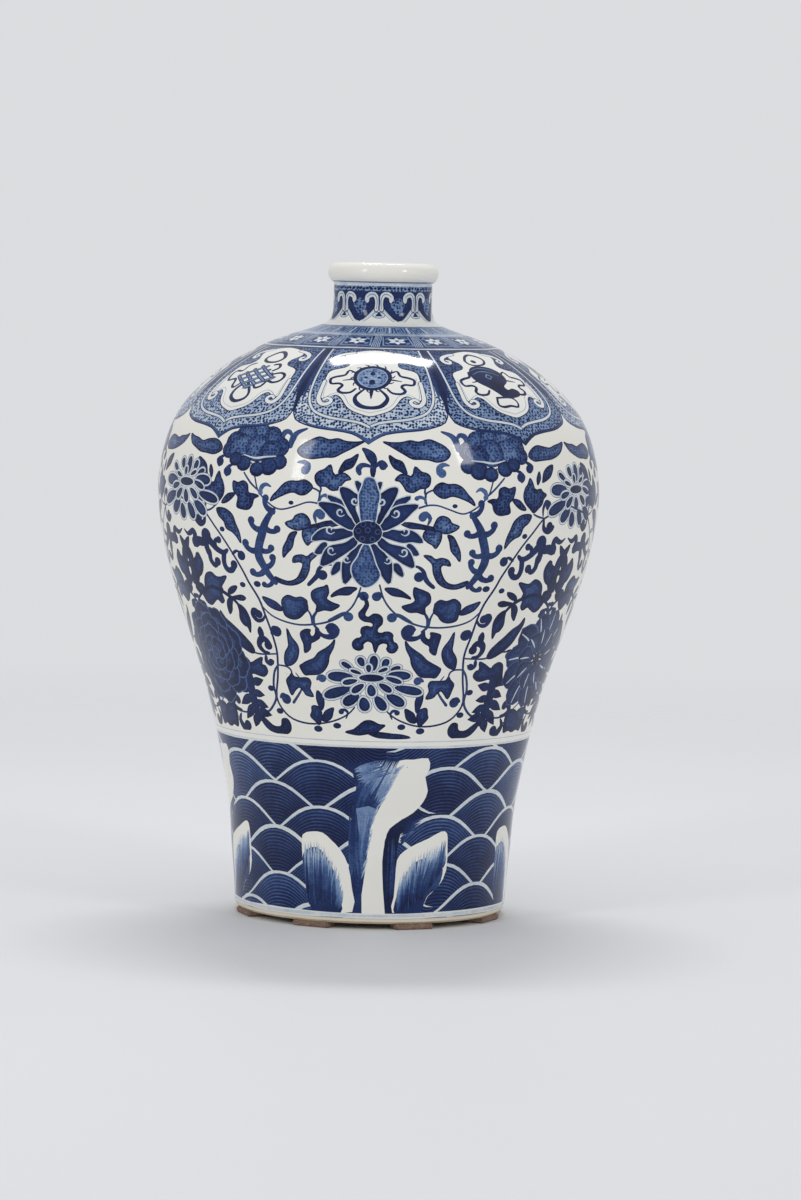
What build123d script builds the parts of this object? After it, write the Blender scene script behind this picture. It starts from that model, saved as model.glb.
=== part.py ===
from build123d import *
import math
import os

# A blue and white porcelain meiping vase on eight felt pads. Lengths are in millimetres.
# Z points up and the origin lies on the shelf, under the centre of the foot.
# The vase is thrown in four sections that are luted with slip, glazed over all but the foot rim, and fired.

# Overall shape of the glazed vase, from the underside of the foot ring to the belly's widest line,
# on to the neck root, and up the neck to the lip's widest line
belly_height = 215.0
belly_radius = 113.0
shoulder_height = 93.0
neck_height = 17.4
neck_radius = 25.2
bore_radius = 20.0

# Curve of the body: (height share, radius share), from the glaze line to the belly
# and then from the belly to the neck root
lower_curve_shares = [(0.0, 0.0), (0.057, 0.018), (0.142, 0.055), (0.236, 0.094), (0.344, 0.189),
                      (0.467, 0.321), (0.613, 0.538), (0.755, 0.777), (0.887, 0.940), (1.0, 1.0)]
shoulder_curve_shares = [(0.204, 0.972), (0.409, 0.889), (0.597, 0.715), (0.747, 0.481), (0.857, 0.200),
                         (0.905, 0.057), (0.931, 0.0195), (0.962, 0.006), (1.0, 0.0)]

# Walls
foot_wall = 9.0
belly_wall = 6.0
floor_thickness = 8.0
floor_corner_radius = 14.0
glaze_thickness = 0.5

# Rolled lip: half an ellipse that runs into the bore
lip_half_width = 4.1
lip_half_height = 5.2

# Foot ring, pared bare below the glaze line
foot_radius = 69.5
foot_ring_width = 11.0
foot_recess_depth = 10.0
glaze_line_height = 2.8
foot_edge_round = 1.0

# Luting slip between the sections: the lower joint by its height above the foot's underside,
# the others by how far they lie below the belly's widest line and below the neck root
slip_thickness = 0.8
lower_seam_height = 92.0
belly_seam_drop = 19.0
neck_seam_drop = 4.4

# Felt pads that the foot ring stands on
pad_count = 8
pad_length = 20.0
pad_width = 9.5
pad_thickness = 3.0
pad_inset = 0.6
pad_corner_radius = 0.8
first_pad_angle = 19.5

# Places that follow from these sizes
foot_z = pad_thickness
glaze_line_z = foot_z + glaze_line_height
belly_z = foot_z + belly_height
neck_root_z = belly_z + shoulder_height
lip_centre_z = neck_root_z + neck_height
top_z = lip_centre_z + lip_half_height
lip_centre_radius = bore_radius + lip_half_width
recess_z = foot_z + foot_recess_depth
floor_z = recess_z + floor_thickness
foot_inner_radius = foot_radius - foot_ring_width
neck_wall = neck_radius - bore_radius


def surface_stations():
    """Points of the glazed outside from the glaze line up to the neck root, as (radius, height)."""
    lower = [(foot_radius + r * (belly_radius - foot_radius), glaze_line_z + h * (belly_z - glaze_line_z))
             for h, r in lower_curve_shares]
    upper = [(neck_radius + r * (belly_radius - neck_radius), belly_z + h * (neck_root_z - belly_z))
             for h, r in shoulder_curve_shares]
    return lower + upper


def profile(stations):
    """A smooth curve through stations that ends straight up the neck."""
    points = [Vector(r, 0, z) for r, z in stations]
    return Spline(*points, tangents=[points[1] - points[0], Vector(0, 0, 1)])


outer_stations = surface_stations()
outer_curve = profile(outer_stations)


def sunk_stations(depths):
    """The outside stations, each moved into the wall by its depth along the curve's own normal."""
    moved = []
    for (r, z), depth in zip(outer_stations, depths):
        tangent = outer_curve.tangent_at(outer_curve.param_at_point(Vector(r, 0, z)))
        moved.append((r - tangent.Z * depth, z + tangent.X * depth))
    return moved


def wall_depths():
    """Wall thickness at each station: thick at the foot, thinner to the belly, then the neck's wall."""
    depths = []
    for r, z in outer_stations:
        if z < belly_z:
            share = (z - glaze_line_z) / (belly_z - glaze_line_z)
            depths.append(foot_wall + share * (belly_wall - foot_wall))
        else:
            share = (z - belly_z) / (neck_root_z - belly_z)
            depths.append(belly_wall + share * (neck_wall - belly_wall))
    return depths


def outside(depth):
    """Edges of the outside at a depth into the glaze: body, neck and lip, ending at the top of the bore."""
    body = profile(sunk_stations([depth] * len(outer_stations)))
    width, height = lip_half_width - depth, lip_half_height - depth
    neck_r = neck_radius - depth
    start = math.degrees(math.acos((neck_r - lip_centre_radius) / width))
    centre = (lip_centre_radius, lip_centre_z)
    lip = Plane.XZ * EllipticalCenterArc(centre, width, height, start_angle=-start, arc_size=180 + start)
    neck = Line(body @ 1, lip @ 0)
    return [body, neck, lip]


def inside(depth):
    """Edges of the inside at a depth into the wall: bore, inner body, rounded corner and floor to the axis."""
    stations = [(r, z) for r, z in sunk_stations([w - depth for w in wall_depths()])
                if z > floor_z + floor_corner_radius]
    body = profile(stations)
    bore = Line(Vector(bore_radius + depth, 0, lip_centre_z), body @ 1)
    floor = floor_z - depth
    corner = floor_corner_radius
    side = body @ 0
    turn = corner * (1 - math.sin(math.radians(45)))
    wall = Line(side, Vector(side.X, 0, floor + corner))
    bend = ThreePointArc(wall @ 1, Vector(side.X - turn, 0, floor + turn), Vector(side.X - corner, 0, floor))
    flat = Line(bend @ 1, Vector(0, 0, floor))
    return [bore, body, wall, bend, flat]


def revolved(edges):
    """A closed outline in the XZ plane turned about the vase's axis."""
    return revolve(Face(Wire(edges)), axis=Axis.Z)


def slab(low, high):
    """A disc between two heights, wider than the vase, that cuts a section out of it."""
    reach = belly_radius + pad_length
    return Pos(0, 0, low) * Cylinder(reach, high - low, align=(Align.CENTER, Align.CENTER, Align.MIN))


def porcelain():
    """The whole fired body under its glaze, from the foot ring to the lip."""
    outer, inner = outside(glaze_thickness), inside(glaze_thickness)
    rim_r = (outer[0] @ 0).X
    round_off = foot_edge_round
    foot = Polyline(Vector(0, 0, floor_z - glaze_thickness), Vector(0, 0, recess_z),
                    Vector(foot_inner_radius, 0, recess_z), Vector(foot_inner_radius, 0, foot_z + round_off),
                    Vector(foot_inner_radius + round_off, 0, foot_z), Vector(rim_r - round_off, 0, foot_z),
                    Vector(rim_r, 0, foot_z + round_off), outer[0] @ 0)
    return revolved([*outer, *inner, *foot.edges()])


def glaze_coat():
    """One coat of glaze over the outside, the lip and the whole inside."""
    skin = [*outside(0), *inside(0)]
    under = [*outside(glaze_thickness), *inside(glaze_thickness)]
    at_foot = Line(skin[0] @ 0, under[0] @ 0)
    at_axis = Line(skin[-1] @ 1, under[-1] @ 1)
    return revolved([*skin, *under, at_foot, at_axis])


def base_glaze():
    """The glazed disc inside the foot ring."""
    disc = Cylinder(foot_inner_radius, glaze_thickness, align=(Align.CENTER, Align.CENTER, Align.MAX))
    return Pos(0, 0, recess_z) * disc


def felt_pad(angle):
    """One felt pad under the foot ring, square to the radius at that angle from the front."""
    centre = foot_radius - pad_inset - pad_width / 2
    pad = Box(pad_length, pad_width, pad_thickness, align=(Align.CENTER, Align.CENTER, Align.MIN))
    pad = fillet(pad.edges().filter_by(Axis.Z), pad_corner_radius)
    return Rot(0, 0, angle) * Pos(0, -centre, 0) * pad


def main():
    seams = {"lower_luting_slip": foot_z + lower_seam_height,
             "belly_luting_slip": belly_z - belly_seam_drop,
             "neck_luting_slip": neck_root_z - neck_seam_drop}
    sections = ["lower_body", "belly_section", "shoulder_section", "neck_and_lip"]
    half_slip = slip_thickness / 2
    bottoms = [0, *(z + half_slip for z in seams.values())]
    tops = [*(z - half_slip for z in seams.values()), top_z]
    body = porcelain()
    nodes = {}
    for name, bottom, top in zip(sections, bottoms, tops):
        nodes[name] = body & slab(bottom, top)
    for name, z in seams.items():
        nodes[name] = body & slab(z - half_slip, z + half_slip)
    nodes["glaze_coat"] = glaze_coat()
    nodes["base_glaze"] = base_glaze()
    for i in range(pad_count):
        nodes[f"felt_pad_{i + 1}"] = felt_pad(first_pad_angle + i * 360 / pad_count)
    os.makedirs("parts", exist_ok=True)
    for name, shape in nodes.items():
        export_step(shape, f"parts/{name}.step")


main()
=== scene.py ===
import bmesh
import bpy
import math
import random
import numpy as np
from mathutils import Matrix, Vector
from mathutils.geometry import delaunay_2d_cdt


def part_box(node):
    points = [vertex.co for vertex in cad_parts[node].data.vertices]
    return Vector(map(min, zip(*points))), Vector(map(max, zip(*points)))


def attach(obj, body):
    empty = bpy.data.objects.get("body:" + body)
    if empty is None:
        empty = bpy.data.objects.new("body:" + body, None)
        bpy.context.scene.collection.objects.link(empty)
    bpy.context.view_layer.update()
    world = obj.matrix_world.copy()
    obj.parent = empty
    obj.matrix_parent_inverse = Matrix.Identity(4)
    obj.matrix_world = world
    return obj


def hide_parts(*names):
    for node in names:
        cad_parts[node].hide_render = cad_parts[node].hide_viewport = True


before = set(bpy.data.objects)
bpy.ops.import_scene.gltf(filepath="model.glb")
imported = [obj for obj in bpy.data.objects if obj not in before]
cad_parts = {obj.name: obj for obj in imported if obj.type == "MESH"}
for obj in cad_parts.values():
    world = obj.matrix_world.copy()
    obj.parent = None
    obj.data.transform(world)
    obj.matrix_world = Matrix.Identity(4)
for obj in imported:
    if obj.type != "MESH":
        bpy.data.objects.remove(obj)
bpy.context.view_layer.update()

bpy.ops.object.select_all(action="DESELECT")


# The place of the eye: about two and a half metres from the vase, a little above its mouth,
# looking slightly down and to the right of it, and tipped so that the vase seems to lean.
picture_height = 1200
lens_in_pixels = 4830
film_height = 36.0
standing_back = 2.473
eye_height = 0.3514
looking_down = math.radians(4.4)
looking_right = math.radians(0.29)
tipping = math.radians(1.3)
bpy.ops.object.camera_add(location=(0, -standing_back, eye_height))
camera = bpy.context.object
camera.data.sensor_width = film_height
camera.data.lens = lens_in_pixels / picture_height * film_height
aim = Vector((math.sin(looking_right), math.cos(looking_right), -math.tan(looking_down)))
level_view = aim.to_track_quat("-Z", "Y").to_matrix()
camera.rotation_euler = (level_view @ Matrix.Rotation(tipping, 3, "Z")).to_euler()
bpy.context.scene.camera = camera
bpy.context.scene.view_settings.view_transform = "Standard"


# The fired body: four thrown sections of white porcelain, luted together with slip of the same
# clay and fired once. Only the foot rim stays bare, where it is toasted to a warm biscuit colour.
class Tint:
    """A value that varies over a surface, wrapped so that a finish is written as sums of such values."""

    tree = None

    def __init__(self, socket):
        self.socket = socket

    @classmethod
    def node(cls, kind, links=None, out=0, stops=None, **settings):
        """Adds a node of a kind: first its settings and ramp stops, then its sockets' values or links."""
        made = cls.tree.nodes.new(kind)
        for name, setting in settings.items():
            setattr(made, name, setting)
        for n, (place, colour) in enumerate(stops or ()):
            stop = made.color_ramp.elements[n] if n < 2 else made.color_ramp.elements.new(place)
            stop.position = place
            stop.color = (*colour, 1)
        for key, value in (links or {}).items():
            if isinstance(value, cls):
                cls.tree.links.new(value.socket, made.inputs[key])
            else:
                made.inputs[key].default_value = value
        return cls(made.outputs[out])

    def sum(self, operation, *others):
        return Tint.node("ShaderNodeMath", dict(enumerate((self, *others))), operation=operation)

    def __add__(self, other):
        return self.sum("ADD", other)

    def __sub__(self, other):
        return self.sum("SUBTRACT", other)

    def __rsub__(self, other):
        return Tint.node("ShaderNodeMath", {0: other, 1: self}, operation="SUBTRACT")

    def __mul__(self, other):
        return self.sum("MULTIPLY", other)

    def __truediv__(self, other):
        return self.sum("DIVIDE", other)

    __radd__, __rmul__ = __add__, __mul__

    def step(self, low, high):
        """0 up to low and 1 from high, with a soft rise between them."""
        links = {"Value": self, "From Min": low, "From Max": high}
        return Tint.node("ShaderNodeMapRange", links, interpolation_type="SMOOTHSTEP")

    def ramp(self, *stops):
        """A colour for each value, between stops of (value, colour)."""
        return Tint.node("ShaderNodeValToRGB", {"Fac": self}, stops=stops)


def as_seen(red, green, blue):
    """A colour given as it is seen, on the usual scale to 255."""
    return tuple((level / 255 / 12.92 if level < 10.3 else ((level / 255 + 0.055) / 1.055) ** 2.4)
                 for level in (red, green, blue))


def noise(size, seed, detail=3.0):
    """Cloudy variation from 0 to 1, its clouds about that size in metres."""
    spot = Tint.node("ShaderNodeTexCoord", out=3)
    placed = Tint.node("ShaderNodeMapping", {"Vector": spot, "Scale": (1 / size, 1 / size, 1 / size)})
    links = {"Vector": placed, "W": seed, "Scale": 1.0, "Detail": detail}
    return Tint.node("ShaderNodeTexNoise", links, noise_dimensions="4D")


def height_up():
    """Height above the shelf in metres."""
    place = Tint.node("ShaderNodeTexCoord", out=3)
    return Tint.node("ShaderNodeSeparateXYZ", {"Vector": place}, out=2)


def between(first, second, share):
    """A colour between two, by a share that may vary."""
    first, second = (value if isinstance(value, Tint) else (*value, 1) for value in (first, second))
    return Tint.node("ShaderNodeMix", {0: share, 6: first, 7: second}, out=2, data_type="RGBA")


def raised(height, depth, over=None):
    """The surface lifted by a height from 0 to 1 times a depth in metres, on top of another relief."""
    links = {"Height": height, "Strength": 1.0, "Distance": depth}
    if over:
        links["Normal"] = over
    return Tint.node("ShaderNodeBump", links)


def finish(name, sockets):
    """A material whose shader takes the values that a function of this finish works out."""
    material = bpy.data.materials.new(name)
    material.use_nodes = True
    Tint.tree = material.node_tree
    shader = material.node_tree.nodes["Principled BSDF"]
    for socket, value in sockets().items():
        if isinstance(value, Tint):
            Tint.tree.links.new(value.socket, shader.inputs[socket])
        else:
            shader.inputs[socket].default_value = value
    return material


def bare_porcelain():
    height = height_up()
    toasted = noise(0.011, seed=2.0) * 0.5 + noise(0.0012, seed=3.0) * 0.3
    colour = toasted.ramp((0.25, as_seen(214, 203, 180)), (0.42, as_seen(196, 178, 148)),
                          (0.6, as_seen(160, 136, 104)))
    edge = (height + noise(0.02, seed=4.0) * 0.0012).step(0.0042, 0.0052)
    grit = noise(0.0004, detail=2.0, seed=5.0)
    ring_spacing = 0.0021
    rings = (height * (math.tau / ring_spacing) + noise(0.03, seed=6.0) * 3).sum("SINE") * 0.5 + 0.5
    return {"Base Color": between(colour, as_seen(222, 214, 198), edge), "Roughness": 0.72 + grit * 0.2,
            "Normal": raised(grit, 0.00012, over=raised(rings, 0.00005))}


def luting_slip():
    grain = noise(0.0006, seed=1.0)
    colour = between(as_seen(226, 221, 210), as_seen(205, 198, 184), grain)
    return {"Base Color": colour, "Roughness": 0.8 + grain * 0.1, "Normal": raised(grain, 0.0001)}


def dress(material, *names):
    """Puts the material on the nodes of those names."""
    for name in names:
        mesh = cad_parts[name].data
        mesh.materials.clear()
        mesh.materials.append(material)


dress(finish("bare_porcelain", bare_porcelain),
      "lower_body", "belly_section", "shoulder_section", "neck_and_lip")
dress(finish("luting_slip", luting_slip),
      "lower_luting_slip", "belly_luting_slip", "neck_luting_slip")


# The cobalt painting: blue brushed on the raw body in outline and wash before it is glazed. A place in
# it is (angle, height): degrees round from the front, positive to the right, and millimetres up the
# outside line from the foot's underside. Each patch of blue is laid over the ones before it.
glaze_line_height = 2.8
steps_in_a_millimetre = 4
pieces_of_a_straight = 12
# how far in millimetres the painted outside stays within the part's own, whose facets are coarser
room_for_facets = 0.045
touching = 1e-6


def half_section(node):
    """A turned piece's outline on one side of its axis as (radius, height), read from its own seam."""
    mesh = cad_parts[node].data
    seam = {v.index: (round(v.co.x, 6), round(v.co.z, 6)) for v in mesh.vertices
            if abs(v.co.y) < touching and v.co.x > 0}
    beside = {}
    for edge in mesh.edges:
        ends = [seam.get(v) for v in edge.vertices]
        if None not in ends and ends[0] != ends[1]:
            beside.setdefault(ends[0], set()).add(ends[1])
            beside.setdefault(ends[1], set()).add(ends[0])
    walk = [max((spot for spot in beside if len(beside[spot]) == 1), key=lambda spot: spot[1])]
    while True:
        onward = beside[walk[-1]] - set(walk[-2:])
        if not onward:
            return walk
        walk.append(onward.pop())


coat_line = half_section("glaze_coat")
heights = [height for radius, height in coat_line]
top = heights.index(max(heights))
foot = heights.index(min(heights))
lip = next(n for n in range(top, foot) if coat_line[n + 1][0] < coat_line[n][0])
stations = coat_line[foot:lip - 1:-1]
outside = []
for (radius, low), (next_radius, high) in zip(stations, stations[1:]):
    pieces = pieces_of_a_straight if abs(radius - next_radius) < touching else 1
    outside += [(radius, low + (high - low) * n / pieces) for n in range(pieces)]
outside = np.array(outside + stations[-1:]) * 1000
outside[:, 0] -= room_for_facets
gaps = np.hypot(*np.diff(outside, axis=0).T)
lengths = glaze_line_height + np.concatenate([[0], np.cumsum(gaps)])
lip_height = float(lengths[-1])


def follow(line, places, at):
    """Points on the smooth line through stations, whose places along it are known."""
    slopes = np.gradient(line, places, axis=0)
    n = np.clip(np.searchsorted(places, at, side="right") - 1, 0, len(places) - 2)
    gap = (places[n + 1] - places[n])[:, None]
    t = (at - places[n])[:, None] / gap
    start = (1 + 2 * t) * (1 - t) ** 2 * line[n] + t * (1 - t) ** 2 * gap * slopes[n]
    return start + t * t * (3 - 2 * t) * line[n + 1] + t * t * (t - 1) * gap * slopes[n + 1]


fine_count = round((lip_height - glaze_line_height) * steps_in_a_millimetre)
fine_places = np.linspace(glaze_line_height, lip_height, fine_count)
fine_line = follow(outside, lengths, fine_places)
fine_slope = np.gradient(fine_line, fine_places, axis=0)
radii = fine_line[:, 0].tolist()
hand = random.Random(7)
patches = []
longest_turn = 3.0
longest_rise, longest_rise_on_neck = 4.6, 1.6
neck_root = 330.0


def reach(height):
    """The vase's radius in millimetres at a height up the outside line."""
    place = (height - glaze_line_height) / (lip_height - glaze_line_height) * (len(radii) - 1)
    n = min(max(int(place), 0), len(radii) - 2)
    return radii[n] + (radii[n + 1] - radii[n]) * (min(max(place, 0), len(radii) - 1) - n)


def per_degree(height):
    """Millimetres round the vase for one degree, at a height up the outside line."""
    return math.radians(reach(height))


def shifted(spot, across, up):
    """The spot moved by millimetres across and up, on the surface."""
    return spot[0] + across / per_degree(spot[1] + up), spot[1] + up


def flowing(points, closed=False, turns=5):
    """A smooth line through given points."""
    count = len(points)
    line = []
    for i in range(count if closed else count - 1):
        near = [(i + k) % count if closed else min(max(i + k, 0), count - 1) for k in (-1, 0, 1, 2)]
        for step in range(turns):
            t = step / turns
            line.append(tuple(
                b + ((c - a) * t + (2 * a - 5 * b + 4 * c - d) * t * t + (3 * b - a - 3 * c + d) * t ** 3) / 2
                for a, b, c, d in zip(*(points[n] for n in near))))
    return line if closed else line + [tuple(points[-1])]


def lay(outline, strength, to=None, along=None, grain=0.0, ripple=None):
    """One patch of cobalt, from its strength at the start of a line to the strength at its end."""
    ring = []
    for (a0, h0), (a1, h1) in zip(outline, outline[1:] + outline[:1]):
        rise = longest_rise_on_neck if max(h0, h1) > neck_root else longest_rise
        pieces = max(math.ceil(abs(a1 - a0) / longest_turn), math.ceil(abs(h1 - h0) / rise))
        ring += [(a0 + (a1 - a0) * n / pieces, h0 + (h1 - h0) * n / pieces) for n in range(pieces)]
    patches.append((ring, strength, strength if to is None else to, along, grain, ripple))


def line(path, widths, strength, turns=5, grain=0.0):
    """A brush line through (angle, height) points, its widths in millimetres shared out along it."""
    points = flowing(path, turns=turns) if len(path) > 2 else list(path)
    last = len(points) - 1
    left, right = [], []
    for i, (angle, height) in enumerate(points):
        before, after = points[max(i - 1, 0)], points[min(i + 1, last)]
        scale = per_degree(height)
        across, up = (after[0] - before[0]) * scale, after[1] - before[1]
        size = math.hypot(across, up) or 1
        across, up = across / size, up / size
        share = i / last * (len(widths) - 1)
        n = min(int(share), len(widths) - 2)
        half = (widths[n] + (widths[n + 1] - widths[n]) * (share - n)) / 2
        for side, sign in ((left, -1), (right, 1)):
            side.append((angle + sign * up * half / scale, height - sign * across * half))
            if i in (0, last):
                onward = half if i else -half
                side.append((angle + (across * onward + sign * 0.5 * up * half) / scale,
                             height + up * onward - sign * 0.5 * across * half))
            if i == 0:
                side.reverse()
    lay(right + left[::-1], strength, grain=grain)


def disc(spot, radius, strength, squash=1.0, sides=10, grain=0.0, turn=0.0):
    """A round dab, squashed in its height and turned."""
    c, s = math.cos(math.radians(turn)), math.sin(math.radians(turn))
    ring = []
    for i in range(sides):
        x = radius * math.cos(math.tau * i / sides)
        y = radius * squash * math.sin(math.tau * i / sides)
        ring.append(shifted(spot, x * c - y * s, x * s + y * c))
    lay(ring, strength, grain=grain)


def petal_outline(base, tip, width, bend, belly, tip_round, trim, steps):
    """A petal or leaf from its base to its tip, widest at its belly and drawn in by trim all round."""
    scale = per_degree((base[1] + tip[1]) / 2)
    across, up = (tip[0] - base[0]) * scale, tip[1] - base[1]
    length = math.hypot(across, up)
    ux, uy = across / length, up / length
    power = math.log(0.5) / math.log(belly)
    half = width / 2 - trim
    long = length - 2.4 * trim
    left, right = [], []
    for i in range(steps + 1):
        t = i / steps
        swell = max(math.sin(math.pi * t ** power), 0.0) ** (tip_round if t > belly else 1.0)
        run = 1.2 * trim + long * t
        arch = bend * math.sin(math.pi * t)
        for sign, side in ((1, left), (-1, right)):
            if sign == 1 or 0 < i < steps:
                off = arch + sign * half * swell
                side.append((base[0] + (ux * run - uy * off) / scale, base[1] + uy * run + ux * off))
    return right + left[::-1]


def leaf(base, tip, width, body, bend=0.0, belly=0.45, rim=0.92, to=None):
    """A leaf or petal: its rim, and inside it the wash where it is wide enough for one."""
    rim_width = 0.45
    lay(petal_outline(base, tip, width, bend, belly, 1.0, 0, 7), rim)
    if width > 4 * rim_width:
        lay(petal_outline(base, tip, width, bend, belly, 1.0, rim_width, 7), body,
            to=body + 0.15 if to is None else to, along=(base, tip), grain=0.8)


# The lotus scroll round the body: three columns of flowers, and between them the stems, leaves and
# curling tendrils, which mirror each other on both sides of every column.
too_few = 7


def inset(outline, by):
    """The outline drawn in by that many millimetres, without the places too narrow for it."""
    scale = per_degree(outline[0][1])
    ring = np.array(outline) * (scale, 1)
    ahead = np.roll(ring, -1, axis=0)
    turned = (ring[:, 0] * ahead[:, 1] - ring[:, 1] * ahead[:, 0]).sum()
    across, up = (ahead - np.roll(ring, 1, axis=0)).T
    size = np.hypot(across, up) + 1e-9
    drawn = ring + by * np.sign(turned) * np.stack([-up / size, across / size], axis=1)
    side = ahead - ring
    share = ((drawn[:, None] - ring) * side).sum(axis=2) / ((side * side).sum(axis=1) + 1e-9)
    near = ring + np.clip(share, 0, 1)[:, :, None] * side
    clear = np.hypot(*(drawn[:, None] - near).transpose(2, 0, 1)).min(axis=1) > 0.9 * abs(by)
    return [tuple(spot) for spot in (drawn[clear] / (scale, 1)).tolist()]


def form(points, body, dots=0.8, edge=0.65, turns=3):
    """A leaf painted in two tones: its dark outline, and inside it a wash that pales from its base."""
    outline = flowing(points, closed=True, turns=turns)
    far = max(points, key=lambda spot: math.hypot((spot[0] - points[0][0]) * 2, spot[1] - points[0][1]))
    lay(inset(outline, -0.35), 0.95, grain=0.3)
    washes = ((edge - 0.2, min(body + 0.24, 0.94), body + 0.1), (2.2, min(body + 0.16, 0.9), body - 0.05))
    for by, near_tone, far_tone in washes:
        inner = inset(outline, by)
        if len(inner) > too_few:
            lay(inner, near_tone, to=far_tone, along=(points[0], far), grain=dots)


def hook(path, width, strength, ball=None, radius=0.0):
    """A tendril that swells along its curl and ends in a ball."""
    line(path, (0.4 * width, 0.95 * width, 1.3 * width, 1.0 * width), strength, turns=3, grain=0.5)
    if ball:
        disc(ball, 1.1 * radius, strength, sides=13, grain=0.5)


def petal(points, body, dots):
    """A petal set off from its neighbours by the white line left round it."""
    outline = flowing(points, closed=True, turns=3)
    lay(inset(outline, -1.1), 0.14)
    lay(inset(outline, -0.5), body, grain=dots)
    inner = inset(outline, 0.9)
    if len(inner) > too_few:
        lay(inner, body - 0.1, grain=dots)


def swirl(heart, size, way):
    """A white line left in the blue that winds in on itself."""
    path = []
    for n in range(8):
        turn, far = -2.6 + 0.86 * n, size * (1.5 - 0.16 * n)
        path.append(shifted(heart, way * far * math.cos(turn), far * math.sin(turn)))
    line(path, (0.27, 0.9, 0.9, 0.54), 0.16, turns=2)


def oval(base, tip, width, trim):
    """A rounded petal from its base to its tip, drawn in by trim."""
    sides = 16
    scale = per_degree((base[1] + tip[1]) / 2)
    across, up = (tip[0] - base[0]) * scale / 2, (tip[1] - base[1]) / 2
    long = math.hypot(across, up)
    ux, uy = across / long, up / long
    ring = []
    for n in range(sides):
        turn = math.tau * n / sides
        on = (long - trim) * math.cos(turn)
        off = (width / 2 - trim) * math.sin(turn) * (1 + 0.18 * math.cos(turn))
        ring.append((base[0] + (across + ux * on - uy * off) / scale, base[1] + up + uy * on + ux * off))
    return ring


# the large flower's petals on its right side and its axis: tone, and outline in millimetres from its heart
lotus_petals = (
    (0.9, ((-2.4, 17.3), (-4.7, 20), (-6.1, 24.4), (-3.3, 22.8), (-0.9, 20.4))),
    (0.88, ((20.3, -6.2), (22.6, -6.5), (25.9, -11), (21.8, -10.4))),
    (0.9, ((12.7, -16.5), (15, -15.8), (16.9, -18.8), (17.4, -21.9), (14.2, -19.6))),
    (0.85, ((11.2, 12.7), (14.2, 15.8), (20.2, 17.6), (17.3, 14.6), (13.5, 11.9))),
    (0.92, ((2.1, -6.2), (5.2, -7.3), (8.9, -11.5), (11.8, -15.8), (11.2, -25.2), (8.8, -23.5),
        (5.5, -18.1), (2.7, -11.9))),
    (0.9, ((6.3, -2.7), (10.5, -5.6), (14.6, -6.7), (18.4, -7.7), (21.1, -10.4), (23, -17), (18.8, -15.8),
        (14.2, -12.8), (9.7, -9.6), (5.5, -5.8))),
    (0.88, ((7.8, -0.2), (12, 1.3), (15.8, 0.8), (20.3, 1.2), (24.1, -0.5), (27, -4.4), (21.8, -3.9),
        (17.3, -4.4), (12, -3.1), (7.8, -1.5))),
    (0.9, ((6.3, 4.2), (10.1, 8.1), (11.8, 11.2), (14.6, 12.8), (18.8, 13.6), (24.1, 13.6), (21.1, 10.4),
        (17.3, 6.5), (12.7, 3.5), (7.8, 1.5))),
    (0.94, ((4, 5), (6.3, 10.4), (6.7, 13.5), (4.5, 15.2), (4.8, 17.9), (7.4, 19.8), (10.5, 21.8),
        (14, 22.1), (13.5, 18.8), (11.2, 14.2), (8.2, 9.2), (5.5, 4.6))),
    (0.66, ((0.2, 26.4), (2.5, 25.4), (4, 21.5), (5, 18.1), (4.2, 12.7), (3, 5), (0, 4.2), (-2.6, 5),
        (-3.8, 12.7), (-4.1, 18.1), (-2.8, 21.9), (-1.7, 25.6))),
    (0.74, ((-0.9, -27.5), (-3.9, -25.8), (-6.6, -21.9), (-7.1, -17.3), (-4.3, -12.7), (-1.8, -6.9),
        (0, -6.5), (1.7, -10), (3.8, -16.5), (5.8, -21.5), (3, -25.8))),
)


def composite(heart):
    """The large flower with the dark heart: pointed petals, some with a rolled edge, in mirrored pairs."""
    for body, points in lotus_petals:
        for way in (1, -1) if abs(points[0][0]) > 1 else (1,):
            size = hand.uniform(0.97, 1.03)
            outline = [shifted(heart, way * x * size, y * size) for x, y in points]
            petal(outline, body, 1.0 if body < 0.8 else 0.4)
    folds = ((18.6, 1.0, 1.7), (17.8, -9.6, 1.7), (10.2, -13.8, 1.4), (13.6, 9.8, 1.6), (6.6, 15.4, 1.4))
    for x, y, size in folds:
        for way in (1, -1):
            swirl(shifted(heart, way * x, y), size, way)
    disc(heart, 7.4, 0.14, squash=0.84, sides=20)
    disc(heart, 7.1, 0.96, squash=0.82, sides=20, grain=0.3)
    for x, y in ((-4.6, 0.8), (0, 1.2), (5.0, 0.4), (-2.2, 4.0), (2.6, 4.2), (-2.6, -3.2), (2.4, -3.4)):
        disc(shifted(heart, x, y), 1.5, 0.68, sides=10)
        disc(shifted(heart, x, y), 1.0, 0.97, sides=10)


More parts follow.
